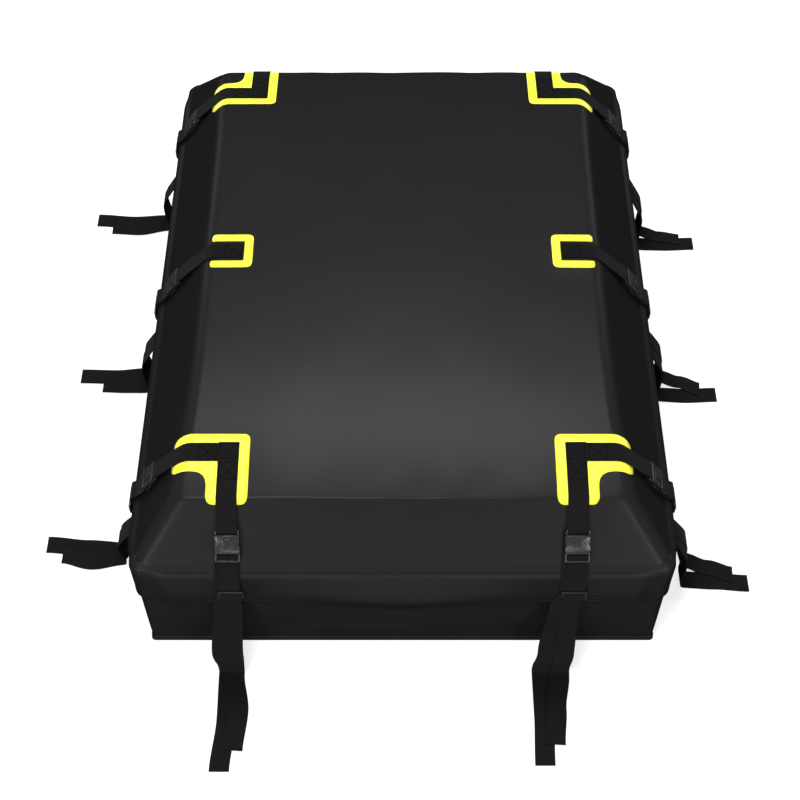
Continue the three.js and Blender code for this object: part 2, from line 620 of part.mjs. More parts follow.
// Tongue: a ladder of two slots, a guide down the middle and two springy arms whose thumb pads
// fill the socket's windows.
function buckleTongue() {
  const half = BUCKLE_WIDTH / 2;
  const cavityHalf = half - SOCKET_SIDE_WALL - CLEARANCE;
  const mouth = SOCKET_LENGTH;
  const shoulder = mouth + LADDER_START;
  const end = buckleEnd - BUCKLE_START;
  const padStart = WINDOW_START + PAD_INSET;
  const padEnd = WINDOW_START + WINDOW_LENGTH - PAD_INSET;
  const armTip = mouth - PRONG_LENGTH;
  const armOuter = cavityHalf - PRONG_INSET;
  const armInner = armOuter - PRONG_WIDTH;
  const root = shoulder - TONGUE_SHOULDER;
  const side = [
    [end, half - LADDER_CUT],
    [end - LADDER_CUT, half],
    [mouth + CLEARANCE, half],
    [mouth + CLEARANCE, cavityHalf],
    [root, cavityHalf],
    [padEnd, armOuter],
    [padEnd, half - PAD_SUNK],
    [padStart + PAD_SLOPE, half - PAD_SUNK],
    [padStart, armOuter + PAD_STEP],
    [armTip, armOuter - PRONG_TAPER],
    [armTip + PRONG_TAPER, armInner],
    [root - PRONG_FLARE, armInner],
    [root, armInner - PRONG_FLARE],
    [root, GUIDE_HALF],
    [armTip + GUIDE_TAPER, GUIDE_HALF],
    [armTip, GUIDE_TIP_HALF],
  ];
  const outline = [...side, ...side.map(([x, y]) => [x, -y]).reverse()];
  const shape = new THREE.Shape(outline.map(([x, y]) => new THREE.Vector2(x, y)));
  const plate = new THREE.ExtrudeGeometry(shape, { depth: BAR, bevelEnabled: false });
  let tongue = toSolid(plate.translate(0, 0, -BAR / 2));
  const opening = halfWebbing + CLEARANCE;
  for (const start of [shoulder, shoulder + WEB_SLOT + BAR]) {
    tongue = tongue.subtract(toSolid(box(start, start + WEB_SLOT, -opening, opening, -BAR, BAR)));
  }
  return toGeometry(tongue);
}

// Slider's own frame: x along the zip, y into the bag, z up, with the origin on the zip line.
function zipSlider() {
  const halfSlider = SLIDER_LENGTH / 2;
  const tall = ZIP_TAPE_HEIGHT + ZIP_SLOT / 2 - SLIDER_MARGIN;
  const face = ZIP_TAPE_PROUD + CLEARANCE;
  const rear = ZIP_TAPE_DEPTH - ZIP_TAPE_PROUD + CLEARANCE;
  const post = ZIP_SLOT / 2 - CLEARANCE;
  const bridgeIn = face + SLIDER_PLATE + PULL_THICKNESS + 2 * CLEARANCE;
  const legs = [-1, 1].map((side) => {
    const near = PULL_WIDTH / 2 + CLEARANCE;
    const ends = [side * near, side * (near + BRIDGE_LEG)].sort((a, b) => a - b);
    return box(ends[0], ends[1], -bridgeIn - BRIDGE_BAR, -face - JOIN, -BRIDGE_BAR, BRIDGE_BAR);
  });
  const wings = [[-face - SLIDER_PLATE, -face], [rear, rear + SLIDER_PLATE]].map(([y0, y1]) => {
    const wing = chamferedPlate(halfSlider, tall, SLIDER_CUT, y1 - y0);
    return wing.rotateX(Math.PI / 2).translate(0, (y0 + y1) / 2, 0);
  });
  const postEnd = halfSlider - SLIDER_POST_INSET;
  const barEnd = PULL_WIDTH / 2 + BRIDGE_OVERHANG;
  const pieces = [
    ...wings,
    box(-postEnd, postEnd, -face - JOIN, rear + JOIN, -post, post),
    box(-barEnd, barEnd, -bridgeIn - BRIDGE_BAR, -bridgeIn, -BRIDGE_BAR, BRIDGE_BAR),
    ...legs,
  ];
  return toGeometry(pieces.map(toSolid).reduce((joined, piece) => joined.add(piece)));
}

// Tape pull, folded over the slider's bridge. Built in a strap's section, with x out of the bag.
function zipPull() {
  const face = ZIP_TAPE_PROUD + CLEARANCE + SLIDER_PLATE;
  const behind = face + CLEARANCE + PULL_THICKNESS / 2;
  const infront = behind + PULL_THICKNESS + BRIDGE_BAR + 2 * CLEARANCE;
  const radius = (infront - behind) / 2;
  const path = [
    [behind, -PULL_LENGTH],
    ...bend([behind + radius, BRIDGE_BAR], radius, Math.PI, 0, PULL_BEND_STEPS),
    [infront, -BRIDGE_BAR - PULL_STRAIGHT],
    [behind + PULL_THICKNESS + CLEARANCE, -BRIDGE_BAR - PULL_STRAIGHT - PULL_CLOSING],
    [behind + PULL_THICKNESS + CLEARANCE, -PULL_RETURN],
  ];
  return ribbon(path, PULL_THICKNESS, PULL_WIDTH);
}

// Outline of a corner patch seen from above, for the corner at +X, +Y: an L under the two straps.
function cornerPatch(sx, sy) {
  const margin = halfWebbing + PATCH_MARGIN;
  const tipInset = LID_SLOPE_INSET - PATCH_TIP * Math.cos(slopeAngle);
  const [x0, x1, x2] = [endStrapOffset - margin, endStrapOffset + margin, halfWidth - tipInset];
  const [y0, y1, y2] = [sideStrapSpacing - margin, sideStrapSpacing + margin, halfLength - tipInset];
  const r = PATCH_CORNER;
  const f = PATCH_FILLET;
  const shape = new THREE.Shape();
  const line = (x, y) => shape.lineTo(sx * x, sy * y);
  const curve = (cx, cy, x, y) => shape.quadraticCurveTo(sx * cx, sy * cy, sx * x, sy * y);
  shape.moveTo(sx * (x0 + r), sy * y0);
  line(x2 - r, y0);
  curve(x2, y0, x2, y0 + r);
  line(x2, y1 - r);
  curve(x2, y1, x2 - r, y1);
  line(x1 + f, y1);
  curve(x1, y1, x1, y1 + f);
  line(x1, y2 - r);
  curve(x1, y2, x1 - r, y2);
  line(x0 + r, y2);
  curve(x0, y2, x0, y2 - r);
  line(x0, y0 + r);
  curve(x0, y0, x0 + r, y0);
  return shape;
}

function middlePatch(sx) {
  const inner = halfWidth - MIDDLE_STRAP_INSET - PATCH_MARGIN;
  const outer = inner + MIDDLE_PATCH_LENGTH;
  const half = MIDDLE_PATCH_WIDTH / 2;
  const r = PATCH_CORNER;
  const shape = new THREE.Shape();
  const curve = (cx, cy, x, y) => shape.quadraticCurveTo(sx * cx, cy, sx * x, y);
  shape.moveTo(sx * (inner + r), -half);
  shape.lineTo(sx * (outer - r), -half);
  curve(outer, -half, outer, r - half);
  shape.lineTo(sx * outer, half - r);
  curve(outer, half, outer - r, half);
  shape.lineTo(sx * (inner + r), half);
  curve(inner, half, inner, half - r);
  shape.lineTo(sx * inner, r - half);
  curve(inner, -half, inner + r, -half);
  return shape;
}

const bag = new THREE.Group();

function addPart(parent, name, geometry, material) {
  const mesh = new THREE.Mesh(geometry, material());
  mesh.name = name;
  parent.add(mesh);
  return mesh;
}

addPart(bag, 'base_tub', baseTub(), floorFabric);
addPart(bag, 'lid_shell', lidShell(), tarpaulin);
addPart(bag, 'storm_flap', stormFlap(), tarpaulin);
addPart(bag, 'zip_lower_tape', zipRow(TUB_HEIGHT + CLEARANCE), zipTape);
addPart(bag, 'zip_upper_tape', zipRow(lidRim - CLEARANCE - ZIP_TAPE_HEIGHT), zipTape);

// Zip sliders, side by side in the middle of the front
for (const [side, hand] of [[-1, 'left'], [1, 'right']]) {
  const place = new THREE.Group();
  place.position.set((side * SLIDER_SPACING) / 2, -halfLength, (TUB_HEIGHT + lidRim) / 2);
  addPart(place, `zip_slider_${hand}`, zipSlider(), sliderMetal);
  addPart(place, `zip_pull_${hand}`, zipPull(), webbing).rotation.z = -Math.PI / 2;
  bag.add(place);
}

// Reflective patches under the ends of the webbing
for (const [sy, end] of [[-1, 'front'], [1, 'back']]) {
  for (const [sx, hand] of [[-1, 'left'], [1, 'right']]) {
    addPart(bag, `reflective_patch_${end}_${hand}`, sheetOnLid(cornerPatch(sx, sy)), reflective);
  }
}
for (const [sx, hand] of [[-1, 'left'], [1, 'right']]) {
  addPart(bag, `reflective_patch_middle_${hand}`, sheetOnLid(middlePatch(sx)), reflective);
}

// Straps: each side's zip line is halfway out from the bag's middle, quarter turns from +X, and its
// straps are placed along it.
const sideStart = END_STRAP_INSET + halfWebbing;
const endStart = SIDE_STRAP_INSET + halfWebbing;
const sideStraps = (names) => [
  { name: names[0], along: -sideStrapSpacing, start: sideStart, crossing: 0 },
  { name: names[1], along: 0, start: MIDDLE_STRAP_INSET, crossing: 0 },
  { name: names[2], along: sideStrapSpacing, start: sideStart, crossing: 0 },
];
const endStraps = (names) => [
  { name: names[0], along: -endStrapOffset, start: endStart, crossing: WEBBING_WIDTH },
  { name: names[1], along: endStrapOffset, start: endStart, crossing: WEBBING_WIDTH },
];
const rightStraps = sideStraps(['right_front', 'right_middle', 'right_back']);
const leftStraps = sideStraps(['left_back', 'left_middle', 'left_front']);
const sides = [
  { quarter: 0, out: halfWidth, reach: SIDE_REACH, straps: rightStraps },
  { quarter: 1, out: halfLength, reach: BACK_REACH, straps: endStraps(['back_right', 'back_left']) },
  { quarter: 2, out: halfWidth, reach: SIDE_REACH, straps: leftStraps },
  { quarter: 3, out: halfLength, reach: FRONT_REACH, straps: endStraps(['front_left', 'front_right']) },
];
for (const { quarter, out, reach, straps } of sides) {
  const face = new THREE.Group();
  face.rotation.z = (quarter * Math.PI) / 2;
  bag.add(face);
  for (const { name, along, start, crossing } of straps) {
    const strap = new THREE.Group();
    strap.position.set(out, along, 0);
    face.add(strap);
    addPart(strap, `anchor_strap_${name}`, anchorStrap(start, crossing), webbing);
    addPart(strap, `strap_loop_${name}`, strapLoop(reach), webbing);
    const buckle = new THREE.Group();
    const [buckleOut, buckleUp] = slopePoint(BUCKLE_START, buckleHeight);
    buckle.position.set(buckleOut, 0, buckleUp);
    buckle.rotation.y = slopeAngle;
    strap.add(buckle);
    addPart(buckle, `buckle_socket_${name}`, buckleSocket(), buckleBlack);
    addPart(buckle, `buckle_tongue_${name}`, buckleTongue(), buckleBlack);
  }
}

export default bag;
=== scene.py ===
"""Finished look of a soft roof cargo bag, built on the frame of its CAD model."""

import math

import bmesh
import bpy
from bpy.props import FloatProperty, FloatVectorProperty, PointerProperty
from bpy.types import Operator, Panel, PropertyGroup
from mathutils import Matrix, Vector, noise


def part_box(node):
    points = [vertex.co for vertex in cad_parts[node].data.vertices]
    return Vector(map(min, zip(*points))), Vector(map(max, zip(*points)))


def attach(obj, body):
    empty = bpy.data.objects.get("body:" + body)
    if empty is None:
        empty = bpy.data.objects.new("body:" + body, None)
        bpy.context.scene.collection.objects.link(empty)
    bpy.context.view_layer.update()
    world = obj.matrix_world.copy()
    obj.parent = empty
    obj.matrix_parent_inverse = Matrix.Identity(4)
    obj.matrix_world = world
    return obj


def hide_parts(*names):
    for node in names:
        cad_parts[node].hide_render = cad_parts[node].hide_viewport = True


bl_info = {
    "name": "Roof cargo bag",
    "version": (1, 0, 0),
    "blender": (4, 5, 0),
    "location": "View3D > Sidebar > Cargo Bag",
    "description": "Builds a soft roof cargo bag with its straps, buckles, zip and patches",
    "category": "Add Mesh",
}

MM = 0.001
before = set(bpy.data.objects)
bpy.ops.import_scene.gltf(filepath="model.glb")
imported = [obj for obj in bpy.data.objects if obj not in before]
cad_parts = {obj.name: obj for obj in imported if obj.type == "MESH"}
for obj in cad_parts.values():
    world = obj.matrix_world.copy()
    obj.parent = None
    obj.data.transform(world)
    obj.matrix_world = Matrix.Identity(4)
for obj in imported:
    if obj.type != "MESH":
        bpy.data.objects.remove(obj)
LID_LOW, LID_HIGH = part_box("lid_shell")
TUB_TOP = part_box("base_tub")[1].z
FLAP_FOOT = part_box("storm_flap")[0].z

# Quarter turns from the right-hand side, by the first word of a strap's name
QUARTERS = {"right": 0, "back": 1, "left": 2, "front": 3}

# How each hanging loop lies, in millimetres: how far its tip and its free tail reach from the bag,
# then the sideways drift of the loop and of the tail at the keeper, at the flap's hem, half way
# down, where they land, half way out and at the end.
LOOPS = {
    "front_left": (268, 228, (-6, -17, -26, -20, -18, -25), (0, -2, -4, -8, 4, -2)),
    "front_right": (256, 216, (-8, -22, -41, -47, -47, -50), (0, -5, -10, -12, -22, -28)),
    "left_front": (231, 196, (-2, -8, -22, -34, -40, -48), (0, -2, -10, -18, -7, -22)),
    "left_middle": (218, 166, (0, -4, -8, -9, -2, -4), (0, 8, 20, 25, 25, 23)),
    "left_back": (240, 201, (0, 0, 0, 0, 6, -1), (0, 4, 10, 16, 30, 26)),
    "right_front": (199, 170, (-2, -10, -24, -34, -38, -43), (0, 3, 8, 12, -7, -23)),
    "right_middle": (195, 160, (-3, -14, -36, -47, -51, -48), (0, 2, 4, 4, -14, -33)),
    "right_back": (197, 165, (-4, -20, -55, -77, -79, -76), (0, -8, -24, -36, -55, -64)),
    "back_left": (200, 160, (0, -4, -10, -14, -16, -20), (0, 3, 6, 8, 10, 12)),
    "back_right": (200, 160, (0, 4, 9, 12, 14, 18), (0, -3, -6, -8, -12, -16)),
}

# Where the flap bulges most beside a corner and over what width, and half the length of an end's middle
CHEEK_PLACE, CHEEK_WIDTH, BELLY_HALF = 0.095, 0.045, 0.279

# How a loop hangs from the flap's hem to the ground: how far out and how far down
HANG = ((0.012, 0.028), (0.035, 0.064), (0.0525, 0.096), (0.053, 0.126), (0.049, 0.156), (0.052, 0.177))

# Foot band's section from its seam up, as (out from the wall, height)
FOOT_BAND = (
    (0.0004, 0.0008), (0.0022, 0.0008), (0.0030, 0.0018), (0.0028, 0.0032),
    (0.0014, 0.0122), (0.0010, 0.0140), (0.0002, 0.0142),
)

# How far a patch shows beside the webbing, and how far down the slope its arms end
PATCH_MARGIN, PATCH_TIP = 0.019, 0.050
PATCH_ROUND = 0.013

# Where the middle straps' webbing begins, and the middle patches' reach, half length, half mouth and spine
MIDDLE_START = 0.320
MIDDLE_REACH, MIDDLE_HALF, MIDDLE_MOUTH, MIDDLE_SPINE = 0.084, 0.0445, 0.0265, 0.0175

# Buckle, from its top edge down: half width, socket's mouth, tongue's shoulder and end, and its slots
BUCKLE_HALF, SOCKET_MOUTH, TONGUE_SHOULDER, TONGUE_END = 0.023, 0.045, 0.0453, 0.0628
TONGUE_SLOTS, TONGUE_SLOT = (0.046, 0.0544), 0.0044

# A stitch: the share of its pitch before it starts, its taper and how deep its ends sink in radii
STITCH_GAP, STITCH_TAPER, STITCH_SINK = 0.14, 0.18, 0.6

# Radius of the webbing's turns round a bar, and length of the stitched box on an anchor
BEND, BOX_STITCH = 0.002, 0.033

# Where the anchor's end lies under itself, up from the buckle's bar
TURN_BACK = (0.007, 0.013, 0.020, 0.026)

# Keeper: half height, top rail and middle bar
KEEPER_HALF, KEEPER_RAIL, KEEPER_BAR = 0.012, 0.003, 0.004

# Faces of a box whose corners go round its foot and then round its top
BOX_FACES = ((3, 2, 1, 0), (4, 5, 6, 7), (0, 1, 5, 4), (1, 2, 6, 5), (2, 3, 7, 6), (3, 0, 4, 7))

# Height of the surface's grain and ribs at full strength
BUMP_HEIGHT = 0.0004

# Lamps: name, setting, width and height, where it hangs, what it points at
LAMPS = (
    ("Overhead", "ceiling", (2.0, 0.9), (0.0, 0.95, 3.4), (0.0, 0.0, 0.3)),
    ("Edge", "edge", (0.7, 0.15), (-0.5, -1.6, 3.2), (-0.2, -0.57, 0.39)),
    ("Front low", "low", (1.2, 0.3), (0.1, -3.2, 0.3), (0.0, -0.66, 0.25)),
    ("Low left", "sides", (1.2, 0.5), (-2.2, 2.4, 0.5), (-0.45, 0.5, 0.3)),
    ("Front left", "front", (0.9, 0.9), (-1.9, -3.4, 1.1), (-0.3, -0.6, 0.25)),
    ("Low right", "sides", (1.2, 0.5), (2.2, 2.4, 0.5), (0.45, 0.5, 0.3)),
    ("Front right", "front", (0.9, 0.9), (1.9, -3.4, 1.1), (0.3, -0.6, 0.25)),
)

FLOOR_REACH = 30.0

# How far the camera's aim passes the bag's middle line forwards and downwards, and its lens's shift
AIM_FORWARD, AIM_DOWN, LENS_SHIFT = 0.0385, 0.0295, -0.00305


def length(name, description, default, low=0.0, high=3.0):
    return FloatProperty(
        name=name, description=description, default=default, min=low, max=high, unit="LENGTH", precision=4
    )


def colour(name, description, default):
    return FloatVectorProperty(
        name=name, description=description, default=default, min=0.0, max=1.0, size=3, subtype="COLOR"
    )


def fraction(name, description, default):
    return FloatProperty(
        name=name, description=description, default=default, min=0.0, max=1.0, subtype="FACTOR"
    )


def power(name, description, default):
    return FloatProperty(name=name, description=description, default=default, min=0.0, subtype="POWER")


class BagShape(PropertyGroup):
    """Sizes of the tub, the lid and the flap."""

    width: length("Width", "Across the bag at the zip", LID_HIGH.x - LID_LOW.x)
    depth: length("Length", "From front to back at the zip", LID_HIGH.y - LID_LOW.y)
    tub_height: length("Tub height", "Floor to the tub's rim", TUB_TOP)
    lid_rim: length("Lid rim", "Height of the lid's rim", LID_LOW.z)
    top_height: length("Top height", "Height of the top panel's middle, below its crown", 0.4176)
    front_droop: length("Front droop", "How much lower the top panel is at its front edge", 0.0300)
    back_droop: length("Back droop", "How much lower the top panel is at its back edge", 0.0230)
    slope_inset: length("Slope inset", "How far the lid's slopes lean in", 0.109)
    base_inset: length("Base inset", "How far the tub's walls lean in", 0.008)
    corner_radius: length("Corner radius", "Radius of the upright corners", 0.024)
    foot_corner: length("Foot corner radius", "The same at the floor", 0.009)
    side_fold: length("Side fold", "Height over which a long side's slope turns into the top", 0.0210)
    end_fold: length("End fold", "The same at the front and the back, where the fold is crisp", 0.0045)
    base_edge: length("Base edge radius", "Fold round the floor", 0.006)
    fabric: length("Fabric", "Thickness of the padded fabric", 0.003)
    crown: length("Crown", "Rise of the top panel's middle", 0.006)
    softness: length("Softness", "Height of the gentle dents in the fabric", 0.0030)
    edge_lumps: length("Edge lumps", "Height of the small lumps along the front and back edges", 0.0016)
    flap_drop: length("Flap drop", "Flap's hem below the tub's rim", TUB_TOP - FLAP_FOOT)
    hem_length: length("Hem length", "How far the cloth hangs below the flap's stated drop", 0.0090)
    flap_stand: length("Flap stand", "How far the flap stands off the zip", 0.0095)
    flap_corner: length("Flap corner stand", "The same round the corners", 0.0030)
    flap_bulge: length("Flap bulge", "How far the flap bulges between the straps", 0.0036)
    flap_belly: length("Flap belly", "How much further it bulges in the middle of an end", 0.0145)
    flap_sag: length("Flap sag", "How far the hem hangs lower in the middle of an end", 0.0110)
    spacing: length("Mesh spacing", "Size of the mesh's squares", 0.012, 0.004)


class StrapShape(PropertyGroup):
    """Sizes of the webbing, the buckles and the keepers."""

    width: length("Width", "Width of the webbing", 0.038)
    thickness: length("Thickness", "Thickness of the webbing", 0.0016)
    air: length("Air", "Air between two layers", 0.0004)
    clearance: length("Clearance", "Gap to what the webbing lies on", 0.0003)
    patch: length("Patch", "Thickness of a reflective patch", 0.0008)
    buckle_start: length("Buckle start", "Buckle's top, down the slope from the top edge", 0.095)
    loop_sewn: length("Loop start", "Loop's sewn end, down the slope from the top edge", 0.100)
    keeper_front: length("Front keeper height", "Height of the keepers on the ends", 0.219)
    keeper_side: length("Side keeper height", "Height of the keepers on the long sides", 0.246)
    stitch: length("Stitch", "Length of one stitch with its gap", 0.0045, 0.002)


class BagFinish(PropertyGroup):
    """Colours of the materials."""

    tarpaulin: colour("Tarpaulin", "Coated fabric", (0.0090, 0.0090, 0.0091))
    webbing: colour("Webbing", "Straps and tapes", (0.0098, 0.0098, 0.0100))
    plastic: colour("Plastic", "Buckles and keepers", (0.0110, 0.0110, 0.0115))
    metal: colour("Metal", "Zip sliders", (0.10, 0.10, 0.105))
    reflective: colour("Reflective", "Reflective patches", (0.97, 0.97, 0.06))
    thread: colour("Thread", "Black thread", (0.0028, 0.0028, 0.0029))
    gloss: fraction("Gloss", "Weight of the tarpaulin's coat seen squarely", 0.17)


class BagStage(PropertyGroup):
    """Floor, lights and camera."""

    floor: colour("Floor", "Floor and backdrop", (0.42, 0.42, 0.42))
    glow: fraction("Floor glow", "Light the floor shows of its own", 0.75)
    ceiling: power("Overhead light", "Power of the overhead light", 100.0)
    sides: power("Side light", "Power of each low side light", 30.0)
    front: power("Front light", "Power of each front light", 44.0)
    edge: power("Edge light", "Power of the narrow light over the front edge", 58.0)
    low: power("Low front light", "Power of the low light before the flap", 11.0)
    room: fraction("Room light", "Strength of the even light", 0.11)
    lens: FloatProperty(name="Lens", description="Focal length", default=66.68, min=10.0, unit="CAMERA")
    distance: length("Camera distance", "From the camera to the bag's middle line", 3.3187, 0.5, 20.0)
    elevation: FloatProperty(
        name="Elevation", description="Camera above the horizon", default=math.radians(53.0), subtype="ANGLE"
    )


# Small helpers


def smooth(low, high, value):
    share = min(max((value - low) / (high - low), 0.0), 1.0)
    return share * share * (3 - 2 * share)


def lerp(a, b, share):
    return a + (b - a) * share


def arc(centre, radius, start, end, steps):
    points = []
    for k in range(steps + 1):
        angle = lerp(start, end, k / steps)
        points.append((centre[0] + radius * math.cos(angle), centre[1] + radius * math.sin(angle)))
    return points


def spline(points, step):
    """Smooth curve through points of any dimension, sampled about every step."""
    made = [tuple(points[0])]
    for k in range(len(points) - 1):
        before = points[max(k - 1, 0)]
        here, after = points[k], points[k + 1]
        beyond = points[min(k + 2, len(points) - 1)]
        span = math.dist(here, after)
        entry = [(a - b) * span / max(math.dist(here, before) + span, 1e-9) for a, b in zip(after, before)]
        leave = [(a - b) * span / max(math.dist(beyond, after) + span, 1e-9) for a, b in zip(beyond, here)]
        count = max(1, round(span / step))
        for n in range(1, count + 1):
            t = n / count
            h1 = 2 * t**3 - 3 * t**2 + 1
            h2 = t**3 - 2 * t**2 + t
            h3 = -2 * t**3 + 3 * t**2
            h4 = t**3 - t**2
            ends = zip(here, after, entry, leave)
            made.append(tuple(h1 * a + h2 * u + h3 * b + h4 * v for a, b, u, v in ends))
    return made


def offset_path(path, distance):
    """A path in a plane moved to its left, with mitred corners."""
    moved = []
    for k, (x, y) in enumerate(path):
        back = path[max(k - 1, 0)]
        ahead = path[min(k + 1, len(path) - 1)]
        into = Vector((x - back[0], y - back[1]))
        out = Vector((ahead[0] - x, ahead[1] - y))
        into = out if k == 0 else into
        out = into if k == len(path) - 1 else out
        into, out = into.normalized(), out.normalized()
        side = Vector((-into.y - out.y, into.x + out.x)).normalized()
        reach = distance / max(side.dot(Vector((-into.y, into.x))), 0.3)
        moved.append((x + side.x * reach, y + side.y * reach))
    return moved


def table_value(places, values, where):
    """Smooth value between the knots of a table."""
    if where <= places[0]:
        return values[0]
    for k in range(len(places) - 1):
        if where <= places[k + 1]:
            return lerp(values[k], values[k + 1], smooth(places[k], places[k + 1], where))
    return values[-1]


def new_mesh(name, points, faces, uvs=None, sharp=60.0):
    """Smooth mesh, with edges sharper than an angle kept."""
    mesh = bpy.data.meshes.new(name)
    mesh.from_pydata([tuple(p) for p in points], [], faces)
    if uvs is not None:
        layer = mesh.uv_layers.new(name="UVMap")
        for loop in mesh.loops:
            layer.data[loop.index].uv = uvs[loop.vertex_index]
    mesh.shade_smooth()
    mesh.set_sharp_from_angle(angle=math.radians(sharp))
    return mesh


def place_piece(name, mesh, material, replaced=(), body="bag", matrix=None):
    """Puts a mesh on the bag as a piece of its own, in place of the CAD nodes it stands for."""
    piece = bpy.data.objects.new(name, mesh)
    bpy.context.scene.collection.objects.link(piece)
    if matrix is not None:
        piece.matrix_world = matrix
    if material is not None and not mesh.materials:
        mesh.materials.append(material)
    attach(piece, body)
    if replaced:
        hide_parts(*replaced)
    return piece


def thicken(piece, thickness):
    """Gives a sheet its thickness, inwards."""
    shell = piece.modifiers.new("Thickness", "SOLIDIFY")
    shell.thickness = thickness
    shell.offset = -1.0
    shell.use_even_offset = True


def ring_faces(count, rings):
    """Faces between rings that have as many points each."""
    faces = []
    for ring in range(rings - 1):
        here, above = ring * count, (ring + 1) * count
        for k in range(count):
            after = (k + 1) % count
            faces.append((here + k, here + after, above + after, above + k))
    return faces


def plate(outline, holes, thickness, bevel, steps=2):
    """Flat plate in X and Y about z = 0, with rounded edges and holes through it."""
    curve = bpy.data.curves.new("plate", "CURVE")
    curve.dimensions = "2D"
    curve.fill_mode = "BOTH"
    curve.extrude = thickness / 2 - bevel
    curve.bevel_depth = bevel
    curve.bevel_resolution = steps
    curve.offset = -bevel
    for ring in (outline, *holes):
        line = curve.splines.new("POLY")
        line.points.add(len(ring) - 1)
        for point, (x, y) in zip(line.points, ring):
            point.co = (x, y, 0.0, 1.0)
        line.use_cyclic_u = True
    holder = bpy.data.objects.new("plate", curve)
    bpy.context.scene.collection.objects.link(holder)
    graph = bpy.context.evaluated_depsgraph_get()
    mesh = bpy.data.meshes.new_from_object(holder.evaluated_get(graph))
    bpy.data.objects.remove(holder)
    bpy.data.curves.remove(curve)
    return mesh


def rounded(points, radius, steps=4, most=0.48):
    """Outline with each corner turned into an arc-like curve. radius is one for all or a list, and
    most is the largest share of a side that a corner takes."""
    radii = radius if isinstance(radius, list) else [radius] * len(points)
    made = []
    for k, corner in enumerate(points):
        here = Vector(corner)
        before = Vector(points[k - 1]) - here
        after = Vector(points[(k + 1) % len(points)]) - here
        cut = min(radii[k], before.length * most, after.length * most)
        start, end = here + before.normalized() * cut, here + after.normalized() * cut
        for n in range(steps + 1):
            t = n / steps
            made.append(tuple((1 - t) ** 2 * start + 2 * t * (1 - t) * here + t**2 * end))
    return made


def rectangle(x0, x1, y0, y1, radius, steps=4):
    return rounded([(x0, y0), (x1, y0), (x1, y1), (x0, y1)], radius, steps)


def joined(name, parts, sharp=40.0):
    """One mesh from several, each lifted by its own height."""
    build = bmesh.new()
    for mesh, lift in parts:
        mesh.transform(Matrix.Translation((0.0, 0.0, lift)))
        build.from_mesh(mesh)
        bpy.data.meshes.remove(mesh)
    bmesh.ops.remove_doubles(build, verts=build.verts, dist=1e-6)
    bmesh.ops.recalc_face_normals(build, faces=build.faces)
    mesh = bpy.data.meshes.new(name)
    build.to_mesh(mesh)
    build.free()
    mesh.materials.clear()
    mesh.shade_smooth()
    mesh.set_sharp_from_angle(angle=math.radians(sharp))
    return mesh


class Threads:
    """Rows of sewn stitches, gathered into one mesh."""

    def __init__(self, pitch, radius=0.00042):
        self.pitch = pitch
        self.radius = radius
        self.points = []
        self.faces = []

    def stitch(self, a, b, normal):
        ahead = (b - a).normalized()
        side = ahead.cross(normal).normalized() * self.radius
        up = normal * self.radius
        first = len(self.points)
        body = (b - a) * STITCH_TAPER
        self.points.append(a - up * STITCH_SINK)
        for end in (a + body, b - body):
            for offset in (side, up, -side, -up):
                self.points.append(end + offset)
        self.points.append(b - up * STITCH_SINK)
        for k in range(4):
            after = (k + 1) % 4
            self.faces.append((first, first + 1 + after, first + 1 + k))
            self.faces.append((first + 1 + k, first + 1 + after, first + 5 + after, first + 5 + k))
            self.faces.append((first + 9, first + 5 + k, first + 5 + after))

    def row(self, samples, closed=False):
        """Stitches along a fine line of (point, normal) samples."""
        samples = list(samples) + ([samples[0]] if closed else [])
        travelled = [0.0]
        for (a, _), (b, _) in zip(samples, samples[1:]):
            travelled.append(travelled[-1] + (b - a).length)
        count = max(1, round(travelled[-1] / self.pitch))
        step = travelled[-1] / count
        for n in range(count):
            a, normal = self.at(samples, travelled, (n + STITCH_GAP) * step)
            b, _ = self.at(samples, travelled, (n + 1 - STITCH_GAP) * step)
            self.stitch(a, b, normal)

    @staticmethod
    def at(samples, travelled, distance):
        low, high = 0, len(travelled) - 1
        while high - low > 1:
            middle = (low + high) // 2
            if travelled[middle] <= distance:
                low = middle
            else:
                high = middle
        span = max(travelled[high] - travelled[low], 1e-9)
        share = (distance - travelled[low]) / span
        return samples[low][0].lerp(samples[high][0], share), samples[low][1]

    def place(self, name, finish="thread", slot="webbing"):
        mesh = new_mesh(name, self.points, self.faces, sharp=80.0)
        place_piece(name, mesh, finish_of(finish))


